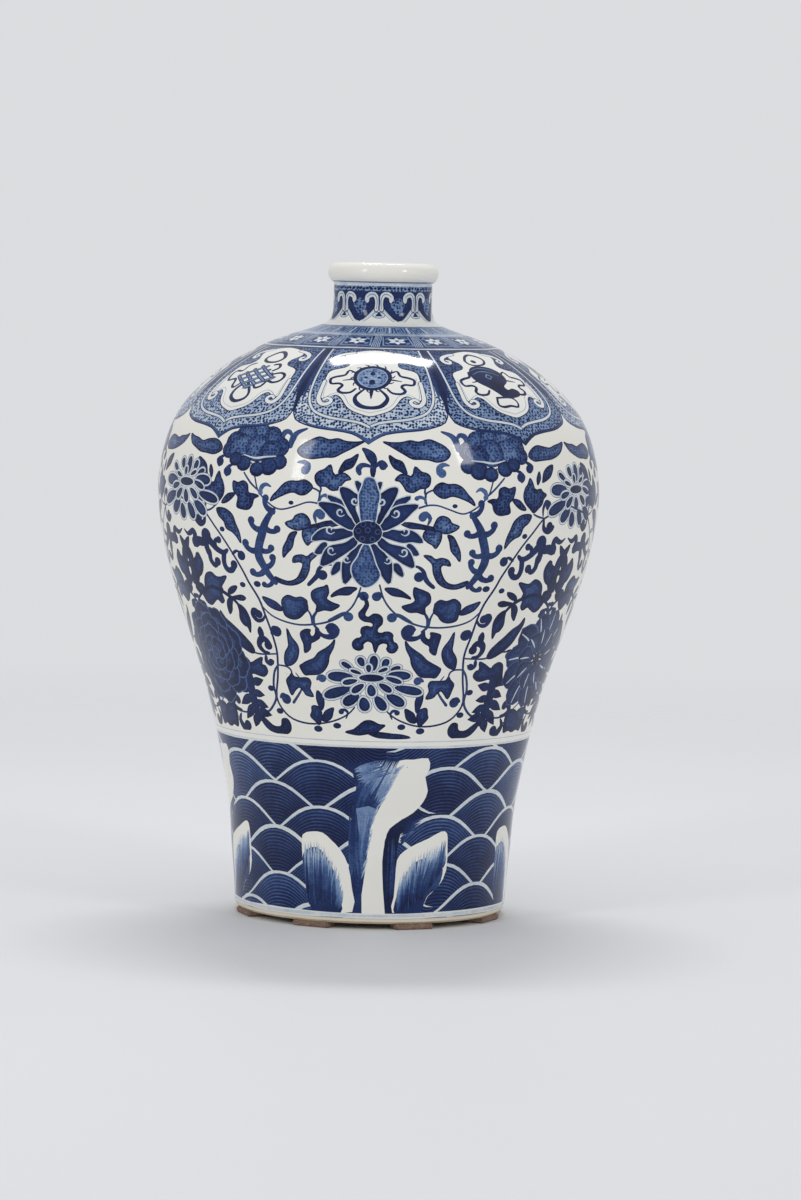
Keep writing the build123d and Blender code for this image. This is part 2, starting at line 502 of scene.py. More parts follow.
# the flat flower's petals in millimetres from its heart: base across and up, tip across and up, width
daisy_petals = (
    (1, 3.6, 1, 12.5, 4.8), (-4.2, 5.9, -6.4, 11.3, 4.2), (-9.3, 4.4, -15.4, 8.2, 3.4),
    (5.4, 5.5, 8.1, 10.7, 4.2), (9, 4.4, 14.7, 6.2, 3.2), (-8.7, 0.2, -22.4, 0.2, 6),
    (8, 2.1, 19.9, 1.2, 5.2), (-9.9, -5.6, -24, -10.8, 6), (11.2, -4.8, 25.8, -7.8, 5.2),
    (-5.8, -9.1, -14.1, -14.8, 6), (7.4, -8.7, 16.7, -14.7, 5.8), (-4.2, -10.2, -2.6, -18.2, 6),
    (1.9, -9.5, 7.2, -17.5, 5.6), (-1.3, 2.7, -1.7, 7.5, 3.2), (2.9, 3.2, 8.3, 5.5, 2.6),
    (-4.8, 2.1, -10.9, 4, 2.6), (-6.7, -1.4, -14.7, -3.3, 3.6), (6.7, 0.5, 15.4, -2.5, 3.4),
    (-3.5, -3.3, -9.9, -8.3, 4.2), (3.5, -2.9, 10.3, -7.5, 4), (-0.6, -3.3, 0.6, -10.2, 4.9),
)


def chrysanthemum(heart, size):
    """A flower seen from above its middle: rings of ovals, each with a white rim in a fine blue line."""
    for x0, y0, x1, y1, width in daisy_petals:
        base, tip = shifted(heart, x0 * size, y0 * size), shifted(heart, x1 * size, y1 * size)
        coats = ((-0.85, 0.55, 0), (-0.55, 0.1, 0), (0.3, hand.uniform(0.9, 0.96), 0.3),
                 (1.3, hand.uniform(0.74, 0.86), 0.5))
        for trim, strength, dots in coats:
            lay(oval(base, tip, width * size, trim), strength, grain=dots)
    for radius, strength, squash in ((7.6, 0.5, 0.37), (7.3, 0.1, 0.37), (6.2, 0.94, 0.32)):
        disc(heart, radius * size, strength, squash=squash, sides=24, grain=0.3)


def peony(heart, size):
    """The great round flower: rings of ruffled petals of three lobes each, darkest at the heart."""
    for count, share, dab in ((10, 0.8, 0.21), (8, 0.6, 0.2), (7, 0.41, 0.18), (4, 0.22, 0.17), (1, 0, 0.14)):
        for i in range(count):
            angle = math.tau * (i + 0.37 * count + hand.uniform(-0.14, 0.14)) / count
            far = size * share * hand.uniform(0.95, 1.05)
            spread = 1.7 / count
            lobes = [(far * 0.96, angle - spread), (far * 0.96, angle + spread), (far * 1.04, angle)]
            for trim, strength, dots in ((0, 0.58, 0), (0.7, 0.93, 0.5)):
                for out, bend in lobes:
                    spot = shifted(heart, out * math.cos(bend), 1.04 * out * math.sin(bend))
                    disc(spot, size * dab - trim, strength, sides=12, grain=dots)
            fold = shifted(heart, far * 0.9 * math.cos(angle), far * 0.9 * math.sin(angle))
            disc(fold, size * dab * 0.62, 0.76, sides=10, grain=0.8)


def trumpet(heart, size):
    """The great open flower: broad dark petals with a white rib along each."""
    for count, share, width in ((11, 1.1, 0.62), (9, 0.72, 0.5)):
        for i in range(count):
            angle = math.tau * (i + 0.3) / count
            far = size * share * hand.uniform(0.95, 1.05)
            base = shifted(heart, 1.8 * math.cos(angle), 1.8 * math.sin(angle))
            tip = shifted(heart, 1.04 * far * math.cos(angle), far * math.sin(angle))
            coats = ((-0.25, 0.6, 0), (0.1, hand.uniform(0.86, 0.96), 0.5),
                     (2.2, hand.uniform(0.76, 0.86), 0.8))
            for trim, strength, dots in coats:
                bend = hand.uniform(-0.6, 0.6)
                lay(petal_outline(base, tip, size * width, bend, 0.64, 0.6, trim, 9), strength, grain=dots)
            rib = []
            for out, bend in ((0.5, 0), (0.7, 0.03), (0.92, 0.08)):
                along = far * out
                rib.append(shifted(heart, along * math.cos(angle + bend), along * math.sin(angle + bend)))
            line(rib, (0.5, 1.0, 0.5), 0.16, turns=2)
    disc(heart, 3.4, 0.95)


def bud_peony(heart, way):
    """A small peony from the side: dotted scales above, dark rolled petals below."""
    scales = ((-13, 2, 5.6, 0.72), (-7, 7, 6.2, 0.66), (0.5, 8.5, 6.6, 0.6), (8, 7, 6.8, 0.62),
              (14, 3.5, 6.2, 0.68), (17, -0.5, 4.8, 0.74), (9, 0, 8.2, 0.58), (-1, 1, 7.6, 0.64),
              (-9, -1, 6.8, 0.7))
    for x, y, radius, strength in scales:
        for trim, tone in ((0, 0.9), (0.5, strength + 0.1), (2.4, strength)):
            spot = shifted(heart, way * x, y)
            disc(spot, radius - trim, tone, squash=0.94, sides=16, grain=1.1 if trim else 0.2)
    for x, y, radius in ((-14, -5.5, 4.6), (-8.5, -8, 5.2), (-2, -9.6, 4.4), (6.5, -7, 4.6), (12, -5, 4.2)):
        disc(shifted(heart, way * x, y), radius, 0.93, squash=0.86, sides=14, grain=0.3)
        disc(shifted(heart, way * x, y + 0.5), radius - 1.1, 0.76, squash=0.8, sides=12, grain=0.6)
    parting = [shifted(heart, way * x, y) for x, y in ((-12, -2.6), (-6, -3.2), (0, -4.0), (7, -2.6))]
    line(parting, (0.4, 1.1, 0.4), 0.12)


def bracket(foot):
    """The flame and cloud scroll that stands over the lower flower."""
    flame = (
        (-6.9, 31.3), (-4.6, 28.6), (-3.8, 25.5), (-4.8, 23.1), (-5.6, 20.9), (-4.6, 19.2), (-3, 19.8),
        (-1.3, 21.1), (1.3, 20.9), (3.1, 19), (3, 15.9), (1.3, 14), (0.7, 12.1), (2, 10.5), (4.3, 11.5),
        (6.9, 11.5), (8.6, 9.8), (8.1, 6.7), (10.2, 5.5), (11.2, 3.2), (9.5, 0.5), (6.9, 0.5), (5.5, 2.5),
        (6.4, 4.4), (4.9, 5.5), (3, 5.4), (1.3, 4), (0, 0), (-1, 3.1), (-1.6, 5.4), (-3.6, 6.5),
        (-5.3, 5.7), (-6.2, 4.4), (-6.1, 2.5), (-8.2, 1.3), (-10.9, 2.5), (-11.4, 5.5), (-9.5, 7.7),
        (-6.4, 8.5), (-7.4, 10.9), (-6.9, 13.6), (-4.3, 14.5), (-2.2, 14), (-1.1, 15.4), (-2.6, 16.7),
        (-5.6, 17.1), (-7.9, 18.6), (-8.6, 21.3), (-6.9, 23.6), (-5.4, 26.3), (-6.1, 29),
    )
    form([shifted(foot, x, y) for x, y in flame], 0.7, edge=0.9, turns=2)


def comb(spine, width, knobs, strength):
    """A scroll leaf: a thick spine with knobbed hooks on both sides."""
    line(spine, (width * 0.5, width, width, width * 0.6), strength, grain=0.5)
    points = flowing(spine)
    for share, side, size in knobs:
        n = min(int(share * (len(points) - 1)), len(points) - 2)
        (a0, h0), (a1, h1) = points[n], points[n + 1]
        scale = per_degree(h0)
        across, up = (a1 - a0) * scale, h1 - h0
        far = math.hypot(across, up)
        ux, uy = across / far, up / far
        nx, ny = -uy * side, ux * side

        def off(out, on):
            return shifted((a0, h0), size * (nx * out + ux * on), size * (ny * out + uy * on))

        neck = [off(0, 0.1), off(0.8, 0.3), off(1.5, 0.1), off(1.9, -0.3)]
        line(neck, (size * 0.9, size * 0.68, size * 0.7), strength, turns=3, grain=0.5)
        disc(off(1.85, -0.42), size * 0.5, strength, sides=12, grain=0.5)


# What grows on one side of a column, each place read off the vase in degrees from the column's axis and
# in height. Stems: widths along them, tone, path. Leaves: tone, outline from the base round.
long_stems = (
    ((1.2, 0.8, 0.9, 0.8), 0.74, ((6, 216), (10, 217.5), (12.3, 218.7), (15, 218.7), (18.1, 216.8),
        (21.5, 214.8), (23.8, 215.6), (26.5, 219.1), (28.8, 223.7), (30, 229.8), (31.4, 237))),
    ((0.9, 1.1, 0.9), 0.74, ((12.1, 218.8), (11.9, 222), (12.1, 224.5), (13.8, 226.2))),
    ((0.9, 1.1, 0.9), 0.74, ((11.9, 223), (11.6, 225.5), (11.9, 227.5))),
    ((0.9, 1.1, 0.9), 0.74, ((33.5, 232), (31.2, 227.5), (29, 224))),
    ((0.9, 1.1, 0.9), 0.74, ((0.8, 178), (1.9, 171.8), (3.5, 166.5), (5.8, 162.6), (8.5, 159.5),
        (11.5, 157.2), (14.6, 156.1), (19.2, 155.7), (23.8, 156.8), (27.7, 159.5), (30.4, 164))),
    ((1.4, 1.8, 1.2), 0.74, ((13.8, 163), (14.6, 160), (14.8, 156), (13.5, 153.5))),
    ((1.8, 1.2, 0.8), 0.74, ((15, 156.5), (15.4, 161), (16.4, 164.5))),
    ((1.0, 1.2, 1.3, 1.2, 1.0, 0.8), 0.82, ((58, 217), (52, 213.8), (47.4, 211.5), (43.6, 204.4),
        (40.3, 197.1), (37.4, 188.9), (35, 181.6), (33.6, 176.2), (31.2, 168), (29.9, 159.8),
        (28.9, 150.7), (28.1, 141.6), (28.4, 134.4), (29.3, 126.2), (31, 115.3), (29.3, 108.9),
        (25.5, 104.4), (19.8, 102.4), (14.1, 103), (8.9, 105.3), (5.5, 108.5), (3.4, 112.2))),
    ((1.2, 1.4, 1.2, 0.8), 0.74, ((28.6, 132.5), (30.3, 128.9), (31.5, 121.6), (31.2, 115.3), (33, 110.4),
        (36.5, 106.8), (45, 105.4), (52, 106.4), (59, 113))),
    ((0.9, 1.1, 0.9), 0.74, ((28.4, 138.9), (33.1, 138), (36.5, 138.6), (41, 141.2), (43.6, 141.8))),
    ((0.9, 1.1, 0.9), 0.74, ((43.2, 214), (45, 212.4), (47.4, 211.6))),
    ((0.9, 1.1, 0.9), 0.74, ((28.2, 132.8), (25.6, 132.4), (24.1, 131), (24, 128.5))),
    ((0.6, 0.9, 1.6), 0.74, ((22.4, 129), (20.6, 124), (21.6, 119.4), (24.6, 113.4))),
)

upper_leaves = (
    (0.6, ((0.8, 249.8), (3.1, 249.5), (5.8, 249.8), (8.1, 251), (10.4, 250.2), (13.1, 251.4),
        (15.4, 249.8), (17.3, 247.5), (18.5, 244.5), (17.5, 241.4), (15, 240.2), (12.7, 241),
        (10.8, 241.4), (8.5, 241.4), (6.5, 243.7), (4.2, 246), (2.3, 248.3))),
    (0.72, ((7.1, 233.7), (5.4, 235.2), (3.8, 236.8), (2.9, 239.5), (2.5, 243.3), (4.2, 241.4),
        (5.8, 239.8), (6.9, 236))),
    (0.58, ((11.9, 227.2), (10.4, 226.8), (8.8, 225.2), (6.9, 225.6), (6.2, 227.9), (5.2, 230.2),
        (4, 231), (5.4, 233.7), (6.9, 233.7), (8.5, 232.9), (9.2, 237.5), (10.8, 235.2), (12.3, 234.1),
        (13.1, 232.2), (12.9, 229.1))),
    (0.58, ((13.8, 226), (14.6, 228.7), (16.2, 229.8), (17.7, 229.1), (19.6, 229.1), (21.5, 227.5),
        (23.1, 223.7), (24.4, 221.4), (25, 218.7), (23.1, 220.6), (21.5, 221.8), (20, 222.9),
        (18.5, 223.3), (16.9, 222.2), (15.4, 222.9))),
    (0.75, ((14.2, 207.5), (12.3, 208.5), (10, 209.6), (7.7, 210), (5.8, 209.8), (6.5, 208.7),
        (8.5, 207.4), (10.8, 207), (13.5, 206.2))),
    (0.52, ((14.2, 206.8), (14.3, 209.5), (15, 212.2), (16.5, 213.3), (18.1, 212.2), (18.8, 209.8),
        (21, 208.3), (19.6, 206), (17.7, 204.8), (15.8, 205.6))),
    (0.52, ((14.2, 206.4), (12.7, 206.8), (11.7, 205.2), (11.7, 202.5), (12.7, 200.2), (14.2, 199.1),
        (15.2, 197.2), (16.3, 201.4), (16.2, 205.2))),
    (0.6, ((17.9, 204.1), (19.6, 202.9), (20.8, 199.1), (21.9, 195.2), (21.9, 190.6), (20.8, 192.9),
        (19.2, 196), (18.7, 200.6))),
    (0.62, ((25, 178.3), (21.9, 176.4), (18.8, 176.8), (16.5, 179.8), (15, 184.5), (14.6, 189.1),
        (13.5, 191.4), (12.1, 193.7), (13.8, 193.5), (15.2, 191.8), (16.9, 192.5), (18.8, 191.4),
        (19.4, 188.3), (17.7, 188.9), (16.7, 187.5), (17.3, 183.7), (18.8, 179.8), (21.2, 178.5),
        (23.8, 179.8), (25, 180.2))),
    (0.7, ((28.4, 220.7), (30, 221.8), (31.7, 222.1), (32, 226.2), (33.6, 227.8), (35.1, 226.6),
        (36.8, 227.5), (36.6, 223.9), (36, 221.5), (35, 219.4), (35.4, 214.9), (33.6, 213.9),
        (31.8, 213.7), (30.4, 216), (29.9, 219.4))),
    (0.66, ((35.9, 221.5), (37.9, 221.2), (39.3, 219.4), (40.6, 216.2), (38.9, 216.6), (37.2, 218.5))),
    (0.6, ((42.4, 213.5), (41.7, 209.8), (40, 207.1), (39.3, 203.5), (37.4, 202.1), (36, 199.8),
        (34.8, 196.6), (34.8, 201.6), (35.8, 206.2), (37, 210.7), (39.3, 213.5))),
    (0.68, ((43.1, 214.5), (41.7, 216.6), (40, 219.8), (39.6, 223.5), (40.3, 227.1), (41.1, 228.5),
        (42, 231.8), (42.9, 229.1), (43.6, 226.2), (45.5, 226.2), (46.4, 224.8), (47.7, 223.5),
        (46.6, 221.6), (46.2, 218.9), (44.6, 216.6))),
    (0.72, ((46.5, 229.4), (46.5, 230.7), (47.2, 234.4), (48.9, 237.1), (51.3, 238.2), (50.3, 233.5),
        (48.6, 231.2))),
    (0.75, ((44.5, 228.7), (44.5, 231.6), (45.5, 235), (45.8, 232.1), (45.2, 229.6))),
    (0.58, ((42.4, 243), (43.6, 246.2), (46, 248), (48.9, 247.5), (51.2, 246.6), (53.6, 248), (56, 248.5),
        (58.1, 249.4), (56.5, 245.3), (54.1, 243), (51.2, 241.2), (48.4, 240.7), (46, 240.3),
        (44.1, 240.7))),
    (0.7, ((55.5, 176.2), (52.7, 178), (51.2, 181.6), (50.9, 185.7), (52.6, 189.6), (53.9, 187.5),
        (55.5, 186.2), (56.1, 190.3), (58.4, 194.4), (61.1, 197.3), (60.3, 192.1), (58.6, 187.5),
        (57.9, 182.5), (57.7, 176.2))),
)

lower_leaves = (
    (0.66, ((13.8, 163), (11.5, 164.2), (9.6, 163.8), (8.1, 164.9), (7.1, 166.8), (8.5, 168),
        (9.6, 168.8), (10.6, 170.3), (10, 173.4), (10.2, 177.2), (11.3, 176.5), (13.1, 175.3),
        (14.6, 173.4), (14.8, 169.5), (13.5, 166.5))),
    (0.72, ((9.4, 171.1), (7.3, 172.2), (4.6, 172.6), (3.1, 174.5), (2.2, 176.3), (4.6, 176.8),
        (6.5, 175.7), (8.5, 173.2))),
    (0.66, ((16.2, 164.2), (16.2, 167.2), (16.3, 168.8), (17.7, 170.5), (19.6, 169.9), (21.9, 171.1),
        (23.8, 168), (23.7, 162.6), (23.1, 159.5), (20.8, 158.4), (18.8, 159.5), (17.3, 162.2))),
    (0.6, ((23.7, 163.4), (25.4, 166.5), (27.7, 168.4), (29.8, 169.5), (28.8, 165.7), (27.3, 163.8),
        (25, 162.6))),
    (0.7, ((14.2, 154.2), (13.5, 152.6), (13.3, 149.5), (14.6, 147.2), (16.2, 145.7), (16.7, 142.6),
        (18.5, 140.7), (18.7, 144.9), (19.2, 148.8), (19.2, 151.5), (17.7, 153), (16, 153), (16.3, 151.5),
        (15.8, 149.4), (14.6, 150.9))),
    (0.64, ((20.8, 132.6), (20, 134.2), (18.1, 136.1), (15.8, 138), (14.2, 141.1), (11.9, 143.4),
        (10, 146.1), (8.8, 148.4), (9.4, 144.2), (10.8, 139.5), (11.3, 135.7), (12.7, 131.8),
        (14.6, 129.2), (17.7, 128.8), (19.6, 128.8))),
    (0.6, ((25.8, 133.4), (25.8, 137.2), (25, 140.3), (23.7, 143.4), (23.5, 147.2), (23.4, 153.4),
        (22.3, 148.8), (20.8, 144.9), (20.6, 141.1), (21.5, 136.5), (23.3, 133.8), (25, 133))),
    (0.6, ((24, 128.8), (24.8, 127.2), (26.2, 124.9), (26, 121.8), (25, 117.2), (23.5, 119.4),
        (21.9, 121.5), (20.4, 119.5), (19.6, 117.6), (17.1, 117.2), (18.1, 121.1), (17.5, 124.2),
        (18.1, 126.5), (19.6, 126.8), (21.2, 126.5), (23.1, 127.2))),
    (0.68, ((14.6, 109.9), (13.8, 112.6), (13.7, 116.1), (14.6, 118.8), (15.8, 120.3), (16.2, 116.5),
        (15.6, 112.6))),
    (0.74, ((14.8, 104.5), (12.7, 104.5), (11.2, 106.5), (10.8, 108.8), (10.4, 111.5), (12.3, 110.7),
        (13.8, 108.8))),
    (0.66, ((15.8, 102.2), (14.8, 106.1), (14.8, 109.5), (16, 111.7), (17.9, 112), (18.3, 108.8),
        (18.7, 106.5), (17.1, 103.8))),
    (0.76, ((36.5, 138.9), (37, 142.5), (38.9, 146.2), (41.2, 149.8), (43.6, 153.5), (46, 156.2),
        (47.5, 159.8), (47.8, 156.2), (46.5, 150.7), (45, 146.2), (42.7, 142.5), (40.3, 139.8),
        (37.9, 138.3))),
    (0.8, ((32.7, 152.9), (33.6, 150.3), (33.3, 147.2), (32.1, 147.5), (31.7, 150.3))),
    (0.8, ((40.9, 167.9), (39, 168.9), (37.1, 169.2), (35.7, 168.1), (36.9, 166.6), (39, 166.8))),
    (0.8, ((42, 169.2), (41.8, 171.4), (40.1, 173.4), (38.3, 173.8), (38.8, 171.9), (40.3, 170.1))),
    (0.82, ((41.1, 166.1), (41.5, 163.5), (42, 160.8), (43.2, 158.6), (43.6, 160.8), (43.5, 164.4),
        (42.4, 167))),
    (0.66, ((54.2, 168.3), (52.3, 171.4), (51.6, 175.8), (50, 178.9), (47.8, 180), (45.8, 178),
        (44.1, 178), (42.4, 178.9), (41.8, 178.3), (43, 175.4), (44.3, 173.2), (43.9, 171), (44.7, 168.8),
        (44.5, 165.7), (45.7, 163.9), (47.4, 165.7), (48.9, 164.2), (50.8, 162.4), (52.7, 163.5),
        (54.1, 166.6))),
    (0.74, ((39.2, 164.4), (37.1, 162.6), (35.9, 159.1), (35.7, 154.7), (36.7, 149.2), (37.3, 152),
        (38.6, 153.4), (39.5, 156.4), (39.2, 160.8))),
    (0.78, ((55.6, 170.4), (54.6, 174.1), (53.5, 177.6), (51.6, 180.2), (50.8, 184.6), (51.5, 187.3),
        (52.3, 189.5), (53.5, 188.6), (54.2, 185.1), (55.8, 185.1), (57.7, 183.7), (59.3, 184.2),
        (58.4, 182), (57.3, 180), (58.4, 176.7), (58.1, 173.2), (56.5, 171.8))),
    (0.74, ((55.3, 185.9), (55.8, 189.5), (57.3, 192.6), (59.6, 195.2), (61.2, 197.1), (60, 192.6),
        (58.1, 188.1), (56.2, 185.5))),
    (0.84, ((61.1, 173.9), (59.8, 176.7), (60.4, 181.1), (61.7, 183.5), (62.3, 180.9), (62.7, 177.6))),
    (0.84, ((59.5, 170.7), (61.1, 173.2), (64, 173), (64.2, 168.6), (61.5, 167.7))),
    (0.74, ((40.8, 123.5), (40, 127.1), (36.5, 126.2), (34.6, 126.2), (32.9, 128.9), (33.4, 131.6),
        (34.8, 132.5), (34.1, 136.4), (36.5, 134.8), (39.1, 132.5), (40, 134.4), (41.7, 135.9),
        (43.6, 134.5), (44.5, 130.7), (45.4, 126.6), (47.2, 123.6), (44.6, 123), (43.1, 122.4))),
    (0.8, ((27.2, 97.8), (26.9, 101.2), (28.1, 103.9), (30, 103.5), (30.5, 100.7), (31.5, 99.4),
        (34.1, 99.8), (37, 102.5), (40, 105.3), (38.9, 101.2), (36.5, 97.5), (33.1, 96), (29.3, 96))),
    (0.8, ((51.7, 102.5), (55, 103.3), (57.4, 105.3), (59.3, 108.5), (62.7, 109.1), (64.6, 107.5),
        (65, 102.5), (64, 97.1), (61.2, 98), (57.9, 96.9), (55, 99.6))),
)

# the fern under its trefoil head: its spine, and base, tip and width of each leaf
fern_spine = ((41.2, 125.6), (41.6, 119.4), (41.3, 112.4), (40.8, 106.2), (40.1, 102.7))
fern_leaves = (
    ((40.9, 121.7), (35.4, 124), 5.0), ((41.1, 117), (35.8, 115.4), 4.4),
    ((40.9, 112.4), (35, 109.2), 4.6), ((40.7, 107.3), (34, 105.2), 5.2),
    ((41.6, 119.9), (47.4, 116.6), 4.8), ((41.6, 114.9), (48.4, 109.5), 5.2),
    ((41.5, 110.5), (46.8, 101.8), 5.4), ((40.7, 105.4), (42.9, 97.8), 5.4),
)

twig_stems = (
    ((1.0, 1.8, 2.0, 2.2, 1.0), 0.92, ((60.4, 158.2), (58.4, 162.6), (56.5, 166.1), (54.2, 168.6),
        (51.2, 171.2), (48.5, 172.1), (45.1, 170.7), (42.4, 168.6), (40.1, 166), (38.2, 161.7),
        (37.1, 157.3))),
    ((0.8, 1.2, 0.6), 0.84, ((57.7, 160), (56.5, 159.7), (55.7, 161.7), (53.9, 162.6))),
)

# the scroll leaf that climbs, and the one that lies along the round: widths and path of each of its arms,
# then place and radius of its balls
climbing_leaf = ((24.1, 214.4), (25.5, 210.7), (27, 206.2), (27.9, 201.6), (28.9, 196.2), (29.3, 190.7),
                 (28.4, 186.2), (27, 181.6), (25.2, 177.4))
lying_scroll = (
    ((2.2, 3.4, 5.2), ((39.8, 192.4), (41.3, 190.8), (43.6, 192.4), (45.8, 195.9), (47.5, 198.9))),
    ((5.4, 4.8, 5.4), ((47.4, 198.9), (48.9, 195.9), (50.8, 195.9), (52.7, 194.8))),
    ((4.6, 3.4, 2.8, 0.8), ((52.7, 195.2), (52.5, 198.9), (53.3, 200.8), (54.7, 199.4), (56.2, 199.1),
        (57.8, 200.8))),
    ((3.6, 4.4, 3.6), ((47.4, 197.8), (47.8, 194.3), (47.4, 190.1))),
    ((3.0, 2.6, 3.0), ((44.3, 194.1), (43.9, 196.6), (42.6, 197.3))),
    ((3.4, 3.2, 3.4), ((41.2, 190.8), (41.5, 185.9), (40.7, 182.4), (39.1, 182.2), (38.1, 184.4))),
    ((3.6, 3.0, 3.0), ((46.9, 190.8), (46.9, 186.4), (45.5, 184.1), (44.2, 185.7))),
)
lying_scroll_balls = ((47.4, 199.1, 3.9), (52.8, 195.4, 2.8), (42.6, 197.5, 1.9), (38.1, 185.2, 2.3),
                      (44.1, 186, 2.3))

# tendrils: width, tone, radius and place of the ball, path; and the dabs in the gaps: place and radius
tendrils = (
    (2.4, 0.56, 2.1, (16, 234.7), ((18.1, 238.3), (16.5, 238.7), (15.4, 237.2), (15.2, 234.8))),
    (2.0, 0.56, 1.3, (28, 222.6), ((25.2, 225.6), (26.5, 226.8), (27.7, 225.2), (28.1, 222.6))),
    (1.4, 0.6, 1.1, (9.6, 222), ((11.7, 219.5), (11.5, 221.8), (10.4, 222.8), (9.4, 221.8))),
    (2.2, 0.64, 2.0, (11.3, 212.9), ((12.7, 209.1), (13.1, 212.2), (12.1, 214.5), (10.8, 214.0))),
    (2.0, 0.84, 2.4, (11.3, 182.4), ((9, 187.9), (10.8, 187.9), (12.3, 185.6), (12.9, 182.2),
        (13.8, 179.8), (15.2, 177.2))),
    (1.8, 0.7, 2.3, (4.6, 161.1), ((10.4, 158.6), (7.3, 161.5), (5.5, 162.4), (4.2, 161.6))),
    (2.0, 0.8, 2.2, (0.2, 172), ((2.0, 171.4), (1.0, 173.4), (0.2, 173.2), (-0.3, 172))),
    (3.2, 0.82, 2.7, (9.5, 153.6), ((14, 153.4), (12.7, 150.7), (10.8, 149.6), (9, 150.8), (8.4, 153.4),
        (9.4, 155.6), (10.6, 154.8))),
    (1.4, 0.7, 2.0, (13.8, 126.9), ((13.4, 128.6), (14.6, 128), (15.4, 126.6))),
    (1.3, 0.8, 1.3, (7.8, 109.7), ((6.3, 106.2), (5.6, 108.8), (6.4, 110.4), (7.9, 110.5))),
    (1.6, 0.8, 2.5, (27.4, 114.9), ((26.8, 116.4), (28.2, 117), (29.4, 115.4))),
    (1.6, 0.84, 2.7, (27, 151.4), ((26.6, 153.4), (28, 153.4), (28.8, 150))),
    (2.4, 0.88, 2.1, (32.1, 160), ((29.8, 159.5), (31, 156.9), (32.9, 156.4), (34.1, 159.1),
        (33.7, 161.7), (32.7, 161.7))),
    (3.0, 0.9, 2.2, (30.7, 143.1), ((31, 139.2), (32.9, 139.7), (34.1, 142.3), (33.6, 145.5), (32, 146.8),
        (30.6, 145.2))),
    (1.9, 0.84, 1.6, (30.9, 134), ((29.8, 134.8), (31.2, 132.9), (32.6, 134.3), (32.5, 136.8))),
    (1.8, 0.84, 1.9, (45, 139.6), ((43, 141.4), (45.2, 142.2), (46.4, 140), (45.2, 138))),
    (3.0, 0.92, 1.9, (50, 111.4), ((49.0, 106.4), (51.5, 106.8), (53.2, 109), (52.2, 112), (50.4, 112.9),
        (49.6, 111.4))),
    (3.0, 0.92, 2.5, (47, 98.4), ((49.8, 104.2), (50.9, 100.8), (49.4, 97.3), (47.2, 97.4))),
    (1.6, 0.86, 2.5, (55.3, 161.4), ((54.8, 163), (57, 163.6), (59.3, 160.6))),
    (2.8, 0.88, 2.3, (49.6, 207.2), ((47.1, 211.2), (47.5, 206.4), (49.4, 205), (51, 206.6))),
    (1.9, 0.86, 1.7, (48.5, 217.6), ((46.8, 212.4), (46.6, 216.4), (47.7, 219.6), (49.1, 219.2))),
    (1.4, 0.84, 2.3, (35.1, 190), ((35.4, 192), (36.6, 192.2), (38, 190.6))),
    (1.7, 0.84, 1.5, (39.6, 245.8), ((41.2, 241.6), (40.9, 246.2), (39.7, 248.2), (39.1, 246.4))),
    (1.9, 0.82, 2.0, (42, 236.4), ((40.3, 240.6), (41.7, 239.4), (43, 237.3), (42.4, 235))),
    (2.1, 0.82, 2.1, (38.8, 232.2), ((37.4, 235.8), (38.6, 234.8), (39.8, 232.4), (39.2, 230.5))),
    (2.8, 0.66, 1.2, (20.8, 246.6), ((16.8, 255.6), (19.2, 253.6), (20.4, 250.6), (20.8, 246.6))),
    (2.5, 0.66, 1.2, (23.4, 250.8), ((20.4, 250.4), (21.6, 253.6), (23.1, 253.2), (23.5, 251))),
)
dabs = ((31, 176, 2.2), (36, 174.9, 1.9), (54.8, 160.8, 2.3), (57.9, 166.1, 1.8), (19.4, 218.4, 1.4),
        (9.6, 102, 2.1), (16.3, 99.9, 2.3), (32.7, 120, 2.1), (30.6, 108, 2.1), (40.8, 203, 1.8))


def foliage(axis, way):
    """The leaves and tendrils on one side of a column: way is 1 to its right and -1 to its left."""
    def at(angle, height):
        return axis + way * (angle + 1.5) + hand.uniform(-0.12, 0.12), height + hand.uniform(-0.2, 0.2)

    def placed(points):
        return [at(*spot) for spot in points]

    for widths, strength, points in long_stems:
        line(placed(points), widths, strength, turns=3)
    for leaves, dots in ((upper_leaves, 1.1), (lower_leaves, 0.6)):
        for body, points in leaves:
            form(placed(points), body, dots=dots)
    line(placed(fern_spine), (5.0, 5.6, 5.0, 2.6), 0.88, grain=0.4)
    for base, tip, width in fern_leaves:
        leaf(at(*base), at(*tip), width, belly=0.42, rim=0.94, body=0.82)
    for widths, strength, points in twig_stems:
        line(placed(points), widths, strength, turns=3)

    # how far along the climbing leaf each hook stands, on which side, and its size
    hooks = ((0.03, way, 3.9), (0.27, -way, 3.9), (0.3, way, 4.2), (0.53, -way, 3.8), (0.55, way, 4.3),
             (0.79, -way, 3.9), (0.81, way, 4.1), (0.97, way, 3.2))
    comb(placed(climbing_leaf), 4.8, hooks, 0.76)
    for widths, points in lying_scroll:
        line(placed(points), widths, 0.86, turns=3, grain=0.4)
    for angle, height, radius in lying_scroll_balls:
        disc(at(angle, height), radius, 0.86, sides=14, grain=0.4)
    for width, strength, radius, ball, points in tendrils:
        hook(placed(points), width, strength, at(*ball), radius)
    for angle, height, radius in dabs:
        disc(at(angle, height), radius, 0.86, squash=0.75, sides=11, grain=0.4)


def turned_to(axis, way, points):
    """Places given from an axis outwards, on its right or mirrored on its left."""
    return [(axis + way * angle, height) for angle, height in points]


